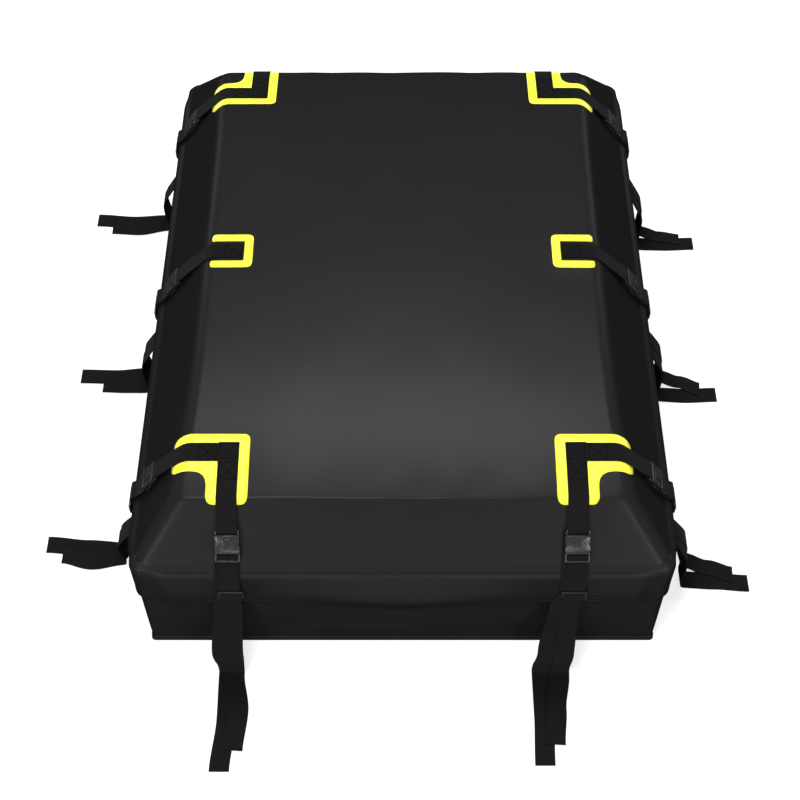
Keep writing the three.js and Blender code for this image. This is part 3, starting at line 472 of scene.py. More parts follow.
class Form:
    """The bag's form, worked out from the settings."""

    def __init__(self, scene):
        self.shape = scene.bag_shape
        self.straps_set = scene.bag_straps
        shape, straps = self.shape, self.straps_set
        self.half = (shape.width / 2, shape.depth / 2)
        self.rise = shape.top_height - shape.lid_rim
        self.angle = math.atan2(self.rise, shape.slope_inset)
        self.slope = math.hypot(self.rise, shape.slope_inset)
        self.steep = math.tan(self.angle)
        self.fold_low = (self.rise - shape.front_droop - shape.side_fold) / self.steep
        self.fold_high = (self.rise + shape.side_fold) / self.steep
        self.hem = shape.tub_height - shape.flap_drop - shape.hem_length
        self.pitch = straps.thickness + straps.air
        self.low_layer = straps.clearance + straps.thickness / 2
        self.bar = 0.004
        self.off_bar = self.bar / 2 + straps.clearance + straps.thickness / 2 + 0.0001
        self.buckle_height = (
            self.low_layer + 2 * self.pitch + straps.thickness / 2 + straps.clearance + self.bar / 2 + 0.0004
        )
        self.straps = [Strap(self, name) for name in LOOPS]

    def inset(self, x, y):
        """How far inside the zip line a point is, measured square to the nearest side."""
        a, b = self.half[0] - abs(x), self.half[1] - abs(y)
        radius = self.shape.corner_radius
        if abs(a - b) >= radius:
            return min(a, b)
        return (a + b - 2 * radius + math.sqrt(2 * radius * radius - (a - b) ** 2)) / 2

    def calm(self, x, y):
        """0 where a strap presses the fabric flat, 1 away from the straps."""
        level = 1.0
        for strap in self.straps:
            out, aside = strap.local(x, y)
            beyond = max(-strap.start - out, 0.0)
            distance = math.hypot(max(abs(aside) - self.straps_set.width / 2, 0.0), beyond)
            level = min(level, smooth(0.004, 0.05, distance))
        return level

    def top_level(self, y):
        """Height of the top panel, which droops towards its front and back edges."""
        shape = self.shape
        droop = shape.front_droop if y < 0 else shape.back_droop
        edge = self.half[1] - (self.rise - droop) / self.steep
        return shape.top_height - droop * min(abs(y) / edge, 1.1) ** 4

    def lid_height(self, x, y):
        """Height of the lid's skin over a place."""
        shape = self.shape
        from_side, from_end = self.half[0] - abs(x), self.half[1] - abs(y)
        inset = self.inset(x, y)

        # Slope and top meet in a fold, which is crisp at the ends
        slope, top = shape.lid_rim + inset * self.steep, self.top_level(y)
        fold = lerp(shape.side_fold, shape.end_fold, smooth(-0.02, 0.02, from_side - from_end))
        base = min(slope, top) - max(fold - abs(slope - top), 0.0) ** 2 / (4 * fold)
        spread = 1.0
        for place, half in ((x, self.half[0]), (y, self.half[1])):
            share = min(abs(place) / (half - self.fold_high), 1.0)
            spread *= (1 - share * share) ** 2

        # Wide dents, smaller ones, and lumps along the upper edge of the ends
        soft = 0.75 * noise.noise(Vector((x * 3.4, y * 2.6, 0.7)))
        soft += 0.25 * noise.noise(Vector((x * 9, y * 7, 4.2)))
        lump = noise.noise(Vector((x * 17, y * 6, 8.1))) * math.exp(-(((from_end - 0.1) / 0.04) ** 2))
        dents = shape.softness * soft + shape.edge_lumps * lump
        return base + shape.crown * spread + dents * smooth(0.0, 0.03, inset) * self.calm(x, y)

    def lid_point(self, x, y, off=0.0):
        """Point above the lid's skin, and the skin's normal there."""
        step = 0.002
        slope_x = (self.lid_height(x + step, y) - self.lid_height(x - step, y)) / (2 * step)
        slope_y = (self.lid_height(x, y + step) - self.lid_height(x, y - step)) / (2 * step)
        normal = Vector((-slope_x, -slope_y, 1.0)).normalized()
        return Vector((x, y, self.lid_height(x, y))) + normal * off, normal

    def slope_point(self, down, off):
        """Point on a slope's section as (out, height): down from the top edge, and off the fabric."""
        sine, cosine = math.sin(self.angle), math.cos(self.angle)
        return (
            -self.shape.slope_inset + down * cosine + off * sine,
            self.shape.top_height - down * sine + off * cosine,
        )

    def tub_corner(self, height):
        """Radius of the tub's upright corners at a height: tight at the floor."""
        share = height / self.shape.tub_height
        return lerp(self.shape.foot_corner, self.shape.corner_radius, smooth(0.0, 0.8, share))

    def ring(self, inset, step=None, radius=None):
        """Rounded rectangle as (x, y, outward) with a fixed count of points for every inset."""
        shape = self.shape
        step = step or shape.spacing
        radius = radius or shape.corner_radius
        points = []
        for quarter in range(4):
            out_half, along_half = self.half[quarter % 2], self.half[1 - quarter % 2]
            turn = quarter * math.pi / 2
            outward = Vector((math.cos(turn), math.sin(turn)))
            along = Vector((-math.sin(turn), math.cos(turn)))
            full = along_half - radius
            run = full - inset
            count = max(2, round(2 * (along_half - shape.corner_radius) / step))
            for k in range(count + 1):
                place = outward * (out_half - inset) + along * lerp(-run, run, k / count)
                points.append((place.x, place.y, outward))
            for k in range(1, 6):
                angle = turn + k / 6 * math.pi / 2
                direction = Vector((math.cos(angle), math.sin(angle)))
                centre = outward * (out_half - inset - radius) + along * run
                place = centre + direction * radius
                points.append((place.x, place.y, direction))
        return points

    def flap_out(self, x, y, direction, down):
        """Stand of the flap's outer face off the zip line, its hem's height and how far it bulges, at
        a station. down runs from 0 at the flap's shoulder to 1 at its hem."""
        shape = self.shape
        along_x = abs(direction.y) > abs(direction.x)
        along = x if along_x else y
        reach = self.half[0] if along_x else self.half[1]
        from_corner = reach - abs(along)
        fullness = smooth(shape.corner_radius, shape.corner_radius + 0.045, from_corner)
        calm = self.calm(x + direction.x * 0.001, y + direction.y * 0.001)
        cheek = math.exp(-(((from_corner - CHEEK_PLACE) / CHEEK_WIDTH) ** 2))
        ripple = noise.noise(Vector((x * 7.5, y * 7.5, 2.3)))
        bulge = shape.flap_bulge * calm * (0.75 + 0.5 * ripple + 0.55 * cheek)
        belly = 0.0
        if along_x:
            belly = math.cos(min(abs(along) / BELLY_HALF, 1.0) * math.pi / 2) ** 2
        stand = lerp(shape.flap_corner - 0.0016 * down, shape.flap_stand, fullness)
        hem = self.hem - shape.flap_sag * belly + 0.0012 * ripple * calm * fullness
        return stand, hem, fullness * bulge + shape.flap_belly * belly

    def flap_section(self, x, y, direction):
        """Flap's outer face at a station, as (out, height) from its seam to its hem."""
        rim = self.shape.lid_rim
        stand, hem, bulge = self.flap_out(x, y, direction, 0.0)
        low_stand = self.flap_out(x, y, direction, 1.0)[0]
        front = rim - 0.0085
        return [
            self.slope_point(self.slope - 0.0180, -0.0008),
            self.slope_point(self.slope - 0.0090, 0.0006),
            (stand * 0.30, rim + 0.0012),
            (stand * 0.86, rim - 0.0042),
            (stand + 0.02 * bulge, front),
            (lerp(stand, low_stand, 0.3) + 0.58 * bulge, lerp(front, hem, 0.28)),
            (lerp(stand, low_stand, 0.6) + bulge, lerp(front, hem, 0.60)),
            (low_stand + 0.55 * bulge, hem),
        ]


class Strap:
    """Where one strap is. Its own frame has x out of the bag from the zip line, y along the side."""

    def __init__(self, form, name):
        self.name = name
        self.quarter = QUARTERS[name.split("_")[0]]
        self.turn = Matrix.Rotation(self.quarter * math.pi / 2, 4, "Z")
        back = self.turn.inverted()
        low, high = (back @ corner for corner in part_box("anchor_strap_" + name))
        self.half = form.half[self.quarter % 2]
        self.along = (low.y + high.y) / 2
        self.start = self.half - min(low.x, high.x)
        self.over = self.quarter % 2 == 1
        self.keeper = form.straps_set.keeper_front if self.over else form.straps_set.keeper_side
        self.back = back

    def local(self, x, y):
        """(out from the zip line, aside from the strap's middle) of a point of the bag."""
        point = self.back @ Vector((x, y, 0.0))
        return point.x - self.half, point.y - self.along

    def world(self, out, aside, height):
        return self.turn @ Vector((self.half + out, self.along + aside, height))

    def side(self):
        return self.turn.to_3x3() @ Vector((0.0, 1.0, 0.0))


class Band:
    """A length of webbing: a centre line with its across direction at each point."""

    def __init__(self, points, sides, rolls=None):
        self.points = points
        self.acrosses = []
        self.normals = []
        self.travelled = [0.0]
        last = len(points) - 1
        for k, point in enumerate(points):
            ahead = (points[min(k + 1, last)] - points[max(k - 1, 0)]).normalized()
            across = (sides[k] - ahead * sides[k].dot(ahead)).normalized()
            if rolls is not None and rolls[k]:
                across = Matrix.Rotation(rolls[k], 3, ahead) @ across
            self.acrosses.append(across)
            self.normals.append(ahead.cross(across).normalized())
            if k:
                self.travelled.append(self.travelled[-1] + (point - points[k - 1]).length)

    def place(self, node, straps):
        """Lays the webbing in place of a CAD node."""
        half, top = straps.width / 2, straps.thickness / 2
        edge = half - 0.0006
        section = [
            (-half, 0), (-edge, top), (-edge / 3, top), (edge / 3, top), (edge, top),
            (half, 0), (edge, -top), (edge / 3, -top), (-edge / 3, -top), (-edge, -top),
        ]
        count = len(section)
        points, uvs = [], []
        stations = zip(self.points, self.acrosses, self.normals, self.travelled)
        for point, across, normal, distance in stations:
            for aside, off in section:
                points.append(point + across * aside + normal * off)
                uvs.append((aside, distance))
        faces = [tuple(reversed(face)) for face in ring_faces(count, len(self.points))]
        faces.append(tuple(range(count)))
        faces.append(tuple(reversed(range((len(self.points) - 1) * count, len(self.points) * count))))
        mesh = new_mesh(node, points, faces, uvs, sharp=50.0)
        place_piece(node + "_webbing", mesh, finish_of("webbing"), (node,))

    def at(self, distance, aside, off):
        """Point beside the centre line and off the surface, and the normal there."""
        place, _ = Threads.at(list(zip(self.points, self.normals)), self.travelled, distance)
        low = max(0, min(len(self.travelled) - 2, sum(1 for t in self.travelled if t <= distance) - 1))
        return place + self.acrosses[low] * aside + self.normals[low] * off, self.normals[low]

    def line(self, start, end, off, steps=10):
        """Samples of a straight line between two (distance, aside) places."""
        samples = []
        for k in range(steps + 1):
            share = k / steps
            samples.append(self.at(lerp(start[0], end[0], share), lerp(start[1], end[1], share), off))
        return samples


# Materials


def add_node(tree, kind, links=None, **values):
    """Node with its settings, its inputs' values, and links from other nodes' outputs."""
    node = tree.nodes.new(kind)
    for name, value in values.items():
        setattr(node, name, value)
    for name, value in (links or {}).items():
        socket = node.inputs[name]
        if isinstance(value, bpy.types.NodeSocket):
            tree.links.new(value, socket)
        else:
            socket.default_value = value
    return node


def math_node(tree, operation, a, b=0.0, c=0.0):
    return add_node(tree, "ShaderNodeMath", {0: a, 1: b, 2: c}, operation=operation).outputs[0]


def ranged(tree, value, low, high, start, end, **values):
    """A value's place between low and high, as one between start and end."""
    links = {"Value": value, "From Min": low, "From Max": high, "To Min": start, "To Max": end}
    return add_node(tree, "ShaderNodeMapRange", links, **values).outputs["Result"]


def new_group(name, inputs, outputs):
    """Node group with its inputs' and outputs' sockets."""
    group = bpy.data.node_groups.new(name, "ShaderNodeTree")
    for label, kind, value in inputs:
        socket = group.interface.new_socket(label, in_out="INPUT", socket_type=kind)
        socket.default_value = value
    for label, kind in outputs:
        group.interface.new_socket(label, in_out="OUTPUT", socket_type=kind)
    return group, group.nodes.new("NodeGroupInput").outputs, group.nodes.new("NodeGroupOutput").inputs


def end_group(group, made, colour, shade, rough, height, strength):
    """Links a group's outputs: a shaded colour, a roughness, and the normal of a height."""
    values = {"Height": height, "Strength": strength, "Distance": BUMP_HEIGHT}
    bump = add_node(group, "ShaderNodeBump", values)
    tint = add_node(
        group, "ShaderNodeMix", {0: 1.0, 6: colour, 7: shade}, data_type="RGBA", blend_type="MULTIPLY"
    )
    group.links.new(tint.outputs[2], made["Colour"])
    group.links.new(rough, made["Roughness"])
    group.links.new(bump.outputs["Normal"], made["Normal"])
    return group


def grain_group():
    """Fine pebbled grain with slow changes of gloss, for coated fabric and moulded plastic."""
    name = "Fine grain"
    if name in bpy.data.node_groups:
        return bpy.data.node_groups[name]
    group, given, made = new_group(
        name,
        [
            ("Colour", "NodeSocketColor", (0.02, 0.02, 0.02, 1.0)),
            ("Roughness", "NodeSocketFloat", 0.4),
            ("Grain Scale", "NodeSocketFloat", 900.0),
            ("Grain Depth", "NodeSocketFloat", 0.2),
            ("Gloss Change", "NodeSocketFloat", 0.05),
        ],
        [("Colour", "NodeSocketColor"), ("Roughness", "NodeSocketFloat"), ("Normal", "NodeSocketVector")],
    )
    place = add_node(group, "ShaderNodeTexCoord").outputs["Object"]
    cells = add_node(group, "ShaderNodeTexVoronoi", {"Vector": place, "Scale": given["Grain Scale"]})
    cloud = add_node(group, "ShaderNodeTexNoise", {"Vector": place, "Scale": 7.0, "Detail": 3.0})
    centred = math_node(group, "SUBTRACT", cloud.outputs["Fac"], 0.5)
    change = math_node(group, "MULTIPLY", centred, given["Gloss Change"])
    rough = math_node(group, "ADD", given["Roughness"], change)
    shade = math_node(group, "MULTIPLY_ADD", centred, 0.25, 1.0)
    return end_group(
        group, made, given["Colour"], shade, rough, cells.outputs["Distance"], given["Grain Depth"]
    )


def weave_group():
    """Herringbone ribs of woven tape, from coordinates in metres across and along it, with painted shade in
    the grooves and a painted highlight on the crests.
    """
    name = "Woven ribs"
    if name in bpy.data.node_groups:
        return bpy.data.node_groups[name]
    group, given, made = new_group(
        name,
        [
            ("Colour", "NodeSocketColor", (0.02, 0.02, 0.02, 1.0)),
            ("Rib Width", "NodeSocketFloat", 0.0024),
            ("Rib Pitch", "NodeSocketFloat", 0.0016),
            ("Depth", "NodeSocketFloat", 0.6),
        ],
        [("Colour", "NodeSocketColor"), ("Roughness", "NodeSocketFloat"), ("Normal", "NodeSocketVector")],
    )
    metres = add_node(group, "ShaderNodeUVMap", uv_map="UVMap").outputs[0]
    uv = add_node(group, "ShaderNodeSeparateXYZ", {0: metres})
    column = math_node(group, "DIVIDE", uv.outputs["X"], given["Rib Width"])
    slant = math_node(group, "PINGPONG", column, 1.0)
    run = math_node(group, "DIVIDE", uv.outputs["Y"], given["Rib Pitch"])
    phase = math_node(group, "ADD", run, slant)
    yarn = math_node(group, "SINE", math_node(group, "MULTIPLY", phase, 2 * math.pi))
    edge = math_node(group, "COSINE", math_node(group, "MULTIPLY", column, 2 * math.pi))
    yarns = math_node(group, "MULTIPLY", yarn, 0.5)
    height = math_node(group, "ADD", yarns, math_node(group, "MULTIPLY", edge, 0.22))
    # Colour follows the ribs' height: painted shade in the grooves between the yarns and a painted highlight
    # on their crests
    shade = ranged(group, height, -0.7, 0.7, 0.72, 1.18)
    rough = ranged(group, height, -0.7, 0.7, 0.85, 0.66)
    return end_group(group, made, given["Colour"], shade, rough, height, given["Depth"])


def new_material(name, group=None, **inputs):
    """Material whose Principled BSDF takes its colour, roughness and normal from a group."""
    if name in bpy.data.materials:
        return bpy.data.materials[name]
    material = bpy.data.materials.new(name)
    material.use_nodes = True
    tree = material.node_tree
    shader = tree.nodes["Principled BSDF"]
    plain = {key: value for key, value in inputs.items() if key in shader.inputs}
    for key, value in plain.items():
        shader.inputs[key].default_value = value
    if group is not None:
        node = add_node(tree, "ShaderNodeGroup", node_tree=group)
        for key, value in inputs.items():
            if key in node.inputs:
                node.inputs[key].default_value = value
        tree.links.new(node.outputs["Colour"], shader.inputs["Base Color"])
        tree.links.new(node.outputs["Roughness"], shader.inputs["Roughness"])
        tree.links.new(node.outputs["Normal"], shader.inputs["Normal"])
    return material


def face_gloss(material, square, aslant):
    """Coat weight from how squarely the skin is seen, so that it doesn't turn pale aslant."""
    tree = material.node_tree
    shader = tree.nodes["Principled BSDF"]
    if shader.inputs["Coat Weight"].is_linked:
        return material
    seen = add_node(tree, "ShaderNodeLayerWeight", {"Blend": 0.5}).outputs["Facing"]
    level = ranged(tree, seen, 0.15, 0.70, square, aslant, interpolation_type="SMOOTHSTEP")
    tree.links.new(level, shader.inputs["Coat Weight"])
    return material


def finish_of(kind):
    """The bag's materials, by kind, made when first asked for."""
    colours = bpy.context.scene.bag_finish
    dull = {"Specular IOR Level": 0.0}
    if kind == "tarpaulin":
        skin = new_material(
            "Tarpaulin", grain_group(),
            **{"Colour": (*colours.tarpaulin, 1), "Roughness": 0.6, "Coat Roughness": 0.37, **dull,
               "Grain Scale": 620.0, "Grain Depth": 0.16, "Gloss Change": 0.10},
        )
        return face_gloss(skin, colours.gloss, 0.02 * colours.gloss)
    if kind == "webbing":
        return new_material(
            "Webbing", weave_group(),
            **{"Colour": (*colours.webbing, 1), "Sheen Weight": 0.02, "Sheen Roughness": 0.5, **dull},
        )
    if kind == "tape":
        return new_material(
            "Zip tape", weave_group(),
            **{"Colour": (*colours.webbing, 1), "Rib Width": 0.0012, "Rib Pitch": 0.0009, "Depth": 0.4},
        )
    if kind == "plastic":
        shell = new_material(
            "Moulded plastic", grain_group(),
            **{"Colour": (*colours.plastic, 1), "Roughness": 0.5, "Coat Roughness": 0.24, **dull,
               "Grain Scale": 1500.0, "Grain Depth": 0.06, "Gloss Change": 0.08},
        )
        return face_gloss(shell, 0.55, 0.06)
    if kind == "reflective":
        return new_material(
            "Reflective sheet", grain_group(),
            **{"Colour": (*colours.reflective, 1), "Roughness": 0.42, "Specular IOR Level": 0.14,
               "Grain Scale": 1100.0, "Grain Depth": 0.10, "Gloss Change": 0.06},
        )
    if kind == "thread":
        return new_material("Thread", **{"Base Color": (*colours.thread, 1), "Roughness": 0.7, **dull})
    if kind == "bright thread":
        duller = (0.8 * level for level in colours.reflective)
        return new_material("Bright thread", **{"Base Color": (*duller, 1), "Roughness": 0.6})
    metal = {"Base Color": (*colours.metal, 1), "Metallic": 1.0, "Roughness": 0.34}
    return new_material("Slider metal", **metal)


# Pieces


def body_mesh(name, rings):
    """Skin through rings of points, each with as many as the next."""
    points = [point for ring in rings for point in ring]
    count = len(rings[0])
    return new_mesh(name, points, ring_faces(count, len(rings)), sharp=70.0)


def build_foot_band(form):
    """Band sewn round the foot of the walls, with a rolled upper edge."""
    rings = []
    for out, height in FOOT_BAND:
        inset = form.shape.base_inset * (1 - height / form.shape.tub_height) - out
        rings.append([(x, y, height) for x, y, _ in form.ring(inset, radius=form.tub_corner(height))])
    place_piece("foot_band", body_mesh("foot_band", rings), finish_of("tarpaulin"))


def build_tub(form):
    """Floor and walls, which fill out between the corners."""
    shape = form.shape
    levels = [(shape.base_inset + 0.03, 0.0003), (shape.base_inset + shape.base_edge, 0.0003)]
    for k in range(1, 6):
        angle = k / 5 * math.pi / 2
        levels.append((
            shape.base_inset + shape.base_edge * (1 - math.sin(angle)),
            0.0003 + shape.base_edge * (1 - math.cos(angle)),
        ))
    wall = shape.tub_height - shape.base_edge
    rows, fullness, dents, creases = 22, 0.0028, 0.0030, 0.0008
    for k in range(1, rows + 1):
        share = k / rows
        levels.append((shape.base_inset * (1 - share), shape.base_edge + wall * share))
    rings = []
    for inset, height in levels:
        ring = []
        share = height / shape.tub_height
        for x, y, outward in form.ring(inset, radius=form.tub_corner(height)):
            corner = form.half[0] - abs(x) if abs(outward.y) > 0.9 else form.half[1] - abs(y)
            free = smooth(0.03, 0.16, corner) if max(abs(outward.x), abs(outward.y)) > 0.99 else 0.0
            fill = math.sin(min(share, 1.0) * math.pi) * free
            dent = noise.noise(Vector((x * 4.0, y * 4.0, height * 7.0)))
            crease = noise.noise(Vector((x * 11.0, y * 11.0, height * 30.0)))
            out = fill * (fullness + dents * dent + creases * crease)
            ring.append((x + outward.x * out, y + outward.y * out, height))
        rings.append(ring)
    mesh = body_mesh("base_tub", rings)
    build = bmesh.new()
    build.from_mesh(mesh)
    build.verts.ensure_lookup_table()
    count = len(rings[0])
    middle = build.verts.new((0.0, 0.0, 0.0003))
    build.verts.ensure_lookup_table()
    for k in range(count):
        build.faces.new((build.verts[(k + 1) % count], build.verts[k], middle))
    build.to_mesh(mesh)
    build.free()
    mesh.shade_smooth()
    tub = place_piece("tub", mesh, finish_of("tarpaulin"), ("base_tub",))
    thicken(tub, shape.fabric)
    build_foot_band(form)


def build_seams(form):
    """Welted seams down the four corners of the slopes."""
    steps, around, half_tall, flat = 30, 8, 0.0008, 1.5
    points, faces = [], []
    for sx, sy in ((-1, -1), (-1, 1), (1, -1), (1, 1)):
        base = len(points)
        line = []
        for k in range(steps + 1):
            inset = lerp(0.012, form.fold_low + 0.012, k / steps)
            back = inset + form.shape.corner_radius * (1 - math.sqrt(0.5))
            line.append(form.lid_point(sx * (form.half[0] - back), sy * (form.half[1] - back), 0.0002))
        for k, (point, normal) in enumerate(line):
            ahead = (line[min(k + 1, steps)][0] - line[max(k - 1, 0)][0]).normalized()
            side = ahead.cross(normal)
            for part in range(around):
                turn = part / around * 2 * math.pi
                points.append(point + (side * math.cos(turn) * flat + normal * math.sin(turn)) * half_tall)
        faces += [tuple(base + v for v in face) for face in ring_faces(around, steps + 1)]
        faces.append(tuple(base + v for v in reversed(range(around))))
        faces.append(tuple(base + around * steps + v for v in range(around)))
    mesh = new_mesh("lid_seams", points, faces, sharp=80.0)
    place_piece("lid_corner_seams", mesh, finish_of("tarpaulin"))


def build_lid(form):
    """Slopes and top panel, with fine rings over the fold between them."""
    shape = form.shape
    insets = [form.fold_low * k / 10 for k in range(11)]
    steps = round((form.fold_high - form.fold_low) / 0.0016)
    insets += [lerp(form.fold_low, form.fold_high, k / steps) for k in range(1, steps + 1)]
    last = form.half[0] - shape.corner_radius - 0.001
    steps = max(4, round((last - form.fold_high) / (1.3 * shape.spacing)))
    insets += [lerp(form.fold_high, last, k / steps) for k in range(1, steps + 1)]
    rings = [[(x, y, form.lid_height(x, y)) for x, y, _ in form.ring(inset)] for inset in insets]
    spine = form.half[1] - form.half[0]
    for share in (0.6, 0.25, 0.0):
        ring = []
        for x, y, _ in rings[len(insets) - 1]:
            middle = max(-spine, min(spine, y))
            px, py = x * share, middle + (y - middle) * share
            ring.append((px, py, form.lid_height(px, py)))
        rings.append(ring)
    mesh = body_mesh("lid_shell", rings)
    build = bmesh.new()
    build.from_mesh(mesh)
    bmesh.ops.remove_doubles(build, verts=build.verts, dist=1e-5)
    build.to_mesh(mesh)
    build.free()
    mesh.shade_smooth()
    lid = place_piece("lid", mesh, finish_of("tarpaulin"), ("lid_shell",))
    thicken(lid, shape.fabric)
    build_seams(form)


def flap_lines(form):
    """Sections of the flap all round, as lists of (point, outward) from seam to hem."""
    lines = []
    for x, y, outward in form.ring(0.0, form.shape.spacing * 0.8):
        line = []
        for out, z in spline(form.flap_section(x, y, outward), 0.005):
            line.append((Vector((x + outward.x * out, y + outward.y * out, z)), outward))
        lines.append(line)
    return lines


def build_flap(form):
    """Storm flap, with its hem turned up and two rows of stitches."""
    lines = flap_lines(form)
    rows = min(len(line) for line in lines)
    hem_rows, hem_thick = 2, 0.0008
    points, faces = [], []
    for line in lines:
        chosen = [line[round(k * (len(line) - 1) / (rows - 1))] for k in range(rows)]
        for k, (point, outward) in enumerate(chosen):
            push = hem_thick if k >= rows - hem_rows else 0.0
            points.append(point + outward.to_3d() * push)
    count = len(lines)
    for k in range(count):
        here, after = k * rows, ((k + 1) % count) * rows
        for row in range(rows - 1):
            faces.append((here + row, here + row + 1, after + row + 1, after + row))
    mesh = new_mesh("storm_flap", points, faces, sharp=75.0)
    flap = place_piece("storm_flap_cloth", mesh, finish_of("tarpaulin"), ("storm_flap",))
    thicken(flap, 0.0019)

    # A row of stitches along the fold, one above the hem
    fold_row, hem_row, hem_height = 4, -4, 0.0115
    fold, hem = [], []
    for line in lines:
        point, outward = line[fold_row]
        fall = (line[fold_row + 1][0] - point).normalized()
        normal = fall.cross(Vector((-outward.y, outward.x, 0.0)))
        normal = normal if normal.z > 0 else -normal
        fold.append((point + normal * 0.0002, normal))
        point, outward = line[-1]
        up = (line[hem_row][0] - point).normalized()
        normal = outward.to_3d()
        hem.append((point + up * hem_height + normal * 0.0003, normal))
    threads = Threads(form.straps_set.stitch)
    for samples in (fold, hem):
        threads.row(samples, closed=True)
    threads.place("flap_stitches")


def bare_copy(node):
    """Copy of a CAD node's mesh without its material."""
    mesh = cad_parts[node].data.copy()
    mesh.materials.clear()
    return mesh


def build_zip(form):
    """Teeth on both tapes, sliders and pulls."""
    slider_reach, pitch = 0.022, 0.0042
    half_long, half_deep, half_tall = 0.0013, 0.0010, 0.0011
    for node in ("zip_lower_tape", "zip_upper_tape"):
        place_piece(node + "_cloth", bare_copy(node), finish_of("tape"), (node,))
    for hand, node, sign in (("lower", "zip_lower_tape", 1), ("upper", "zip_upper_tape", -1)):
        low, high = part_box(node)
        edge = high.z if sign > 0 else low.z
        points, faces = [], []
        stations = form.ring(0.0, pitch)
        for k, (x, y, outward) in enumerate(stations):
            if abs(x) < slider_reach and y < 0:
                continue
            if (k % 2 == 0) != (sign > 0):
                continue
            side = Vector((-outward.y, outward.x, 0.0))
            out = outward.to_3d()
            centre = Vector((x, y, edge + sign * 0.0009)) - out * 0.0008
            base = len(points)
            for dz in (-half_tall, half_tall):
                for a, b in ((-1, -1), (1, -1), (1, 1), (-1, 1)):
                    across = side * (a * half_long) + out * (b * half_deep)
                    points.append(centre + across + Vector((0, 0, dz)))
            faces += [tuple(base + v for v in face) for face in BOX_FACES]
        mesh = new_mesh("zip_teeth_" + hand, points, faces, sharp=30.0)
        place_piece("zip_teeth_" + hand, mesh, finish_of("plastic"))
    for hand in ("left", "right"):
        for kind, finish, slot in (("slider", "metal", "zip_metal"), ("pull", "tape", "webbing")):
            node = "zip_{}_{}".format(kind, hand)
            name, body = node + "_finished", "slider_" + hand
            piece = place_piece(name, bare_copy(node), finish_of(finish), (node,), body)
            if kind == "slider":
                soften(piece, 0.00035)


def soften(piece, width):
    """Rounds the edges of a piece made of flat faces."""
    build = bmesh.new()
    build.from_mesh(piece.data)
    bmesh.ops.remove_doubles(build, verts=build.verts, dist=1e-6)
    bmesh.ops.dissolve_limit(build, angle_limit=math.radians(1.0), verts=build.verts, edges=build.edges)
    build.to_mesh(piece.data)
    build.free()
    edge = piece.modifiers.new("Edges", "BEVEL")
    edge.width = width
    edge.segments = 2
    edge.limit_method = "ANGLE"
    edge.angle_limit = math.radians(35)
    piece.data.shade_smooth()


def corner_outline(form, sx, sy):
    """L round a corner of the top: under two straps, joined at the corner."""
    straps = {strap.name: strap for strap in form.straps}
    end = straps["front_right" if sy < 0 else "back_right"]
    side = straps["right_front" if sy < 0 else "right_back"]
    margin = form.straps_set.width / 2 + PATCH_MARGIN
    tip = form.shape.slope_inset - PATCH_TIP * math.cos(form.angle)
    across, along = abs(end.along), abs(side.along)
    x0, x1, x2 = across - margin, across + margin, form.half[0] - tip
    y0, y1, y2 = along - margin, along + margin, form.half[1] - tip
    corners = [(x0, y0), (x2, y0), (x2, y1), (x1, y1), (x1, y2), (x0, y2)]
    radii = [PATCH_ROUND] * 3 + [0.030] + [PATCH_ROUND] * 2
    outline = [(sx * x, sy * y) for x, y in rounded(corners, radii, 6, 1.0)]
    return outline if sx * sy > 0 else outline[::-1]


def middle_outline(sx):
    """C under a middle strap, open outwards."""
    inner = MIDDLE_START - PATCH_MARGIN
    outer, back = inner + MIDDLE_REACH, inner + MIDDLE_SPINE
    half, mouth = MIDDLE_HALF, MIDDLE_MOUTH
    corners = [
        (inner, -half), (outer, -half), (outer, -mouth), (back, -mouth),
        (back, mouth), (outer, mouth), (outer, half), (inner, half),
    ]
    radii = [PATCH_ROUND, PATCH_ROUND, 0.004, 0.003]
    outline = [(sx * x, y) for x, y in rounded(corners, radii + radii[::-1])]
    return outline if sx > 0 else outline[::-1]


def patch_mesh(form, name, outline, lift, thickness):
    """Sheet cut to an outline and laid on the lid."""
    build = bmesh.new()
    face = build.faces.new([build.verts.new((x, y, 0.0)) for x, y in outline])
    if face.normal.z < 0:
        face.normal_flip()
    step = 0.007
    for axis in range(2):
        low = min(p[axis] for p in outline)
        high = max(p[axis] for p in outline)
        normal = Vector((1.0 - axis, axis, 0.0))
        for k in range(1, int((high - low) / step)):
            everything = build.verts[:] + build.edges[:] + build.faces[:]
            cut = normal * (low + k * step)
            bmesh.ops.bisect_plane(build, geom=everything, plane_co=cut, plane_no=normal)
    for vert in build.verts:
        vert.co, _ = form.lid_point(vert.co.x, vert.co.y, lift + thickness)
    bmesh.ops.recalc_face_normals(build, faces=build.faces)
    if sum(face.normal.z for face in build.faces) < 0:
        bmesh.ops.reverse_faces(build, faces=build.faces)
    mesh = bpy.data.meshes.new(name)
    build.to_mesh(mesh)
    build.free()
    mesh.shade_smooth()
    return mesh


def inner_line(form, outline, margin, off):
    """Samples of a line just inside an outline, on the lid."""
    ring = [Vector(p) for p in outline]
    count = len(ring)
    turn = sum(ring[k - 1].x * ring[k].y - ring[k].x * ring[k - 1].y for k in range(count))
    inside = []
    for k, here in enumerate(ring):
        along = (ring[(k + 1) % count] - ring[k - 1]).normalized()
        inside.append(here + Vector((-along.y, along.x)) * math.copysign(margin, turn))
    samples = []
    for k, a in enumerate(inside):
        b = inside[(k + 1) % count]
        pieces = max(1, round((ring[(k + 1) % count] - ring[k]).length / 0.006))
        for n in range(pieces):
            place = a.lerp(b, n / pieces)
            samples.append(form.lid_point(place.x, place.y, off))
    return samples


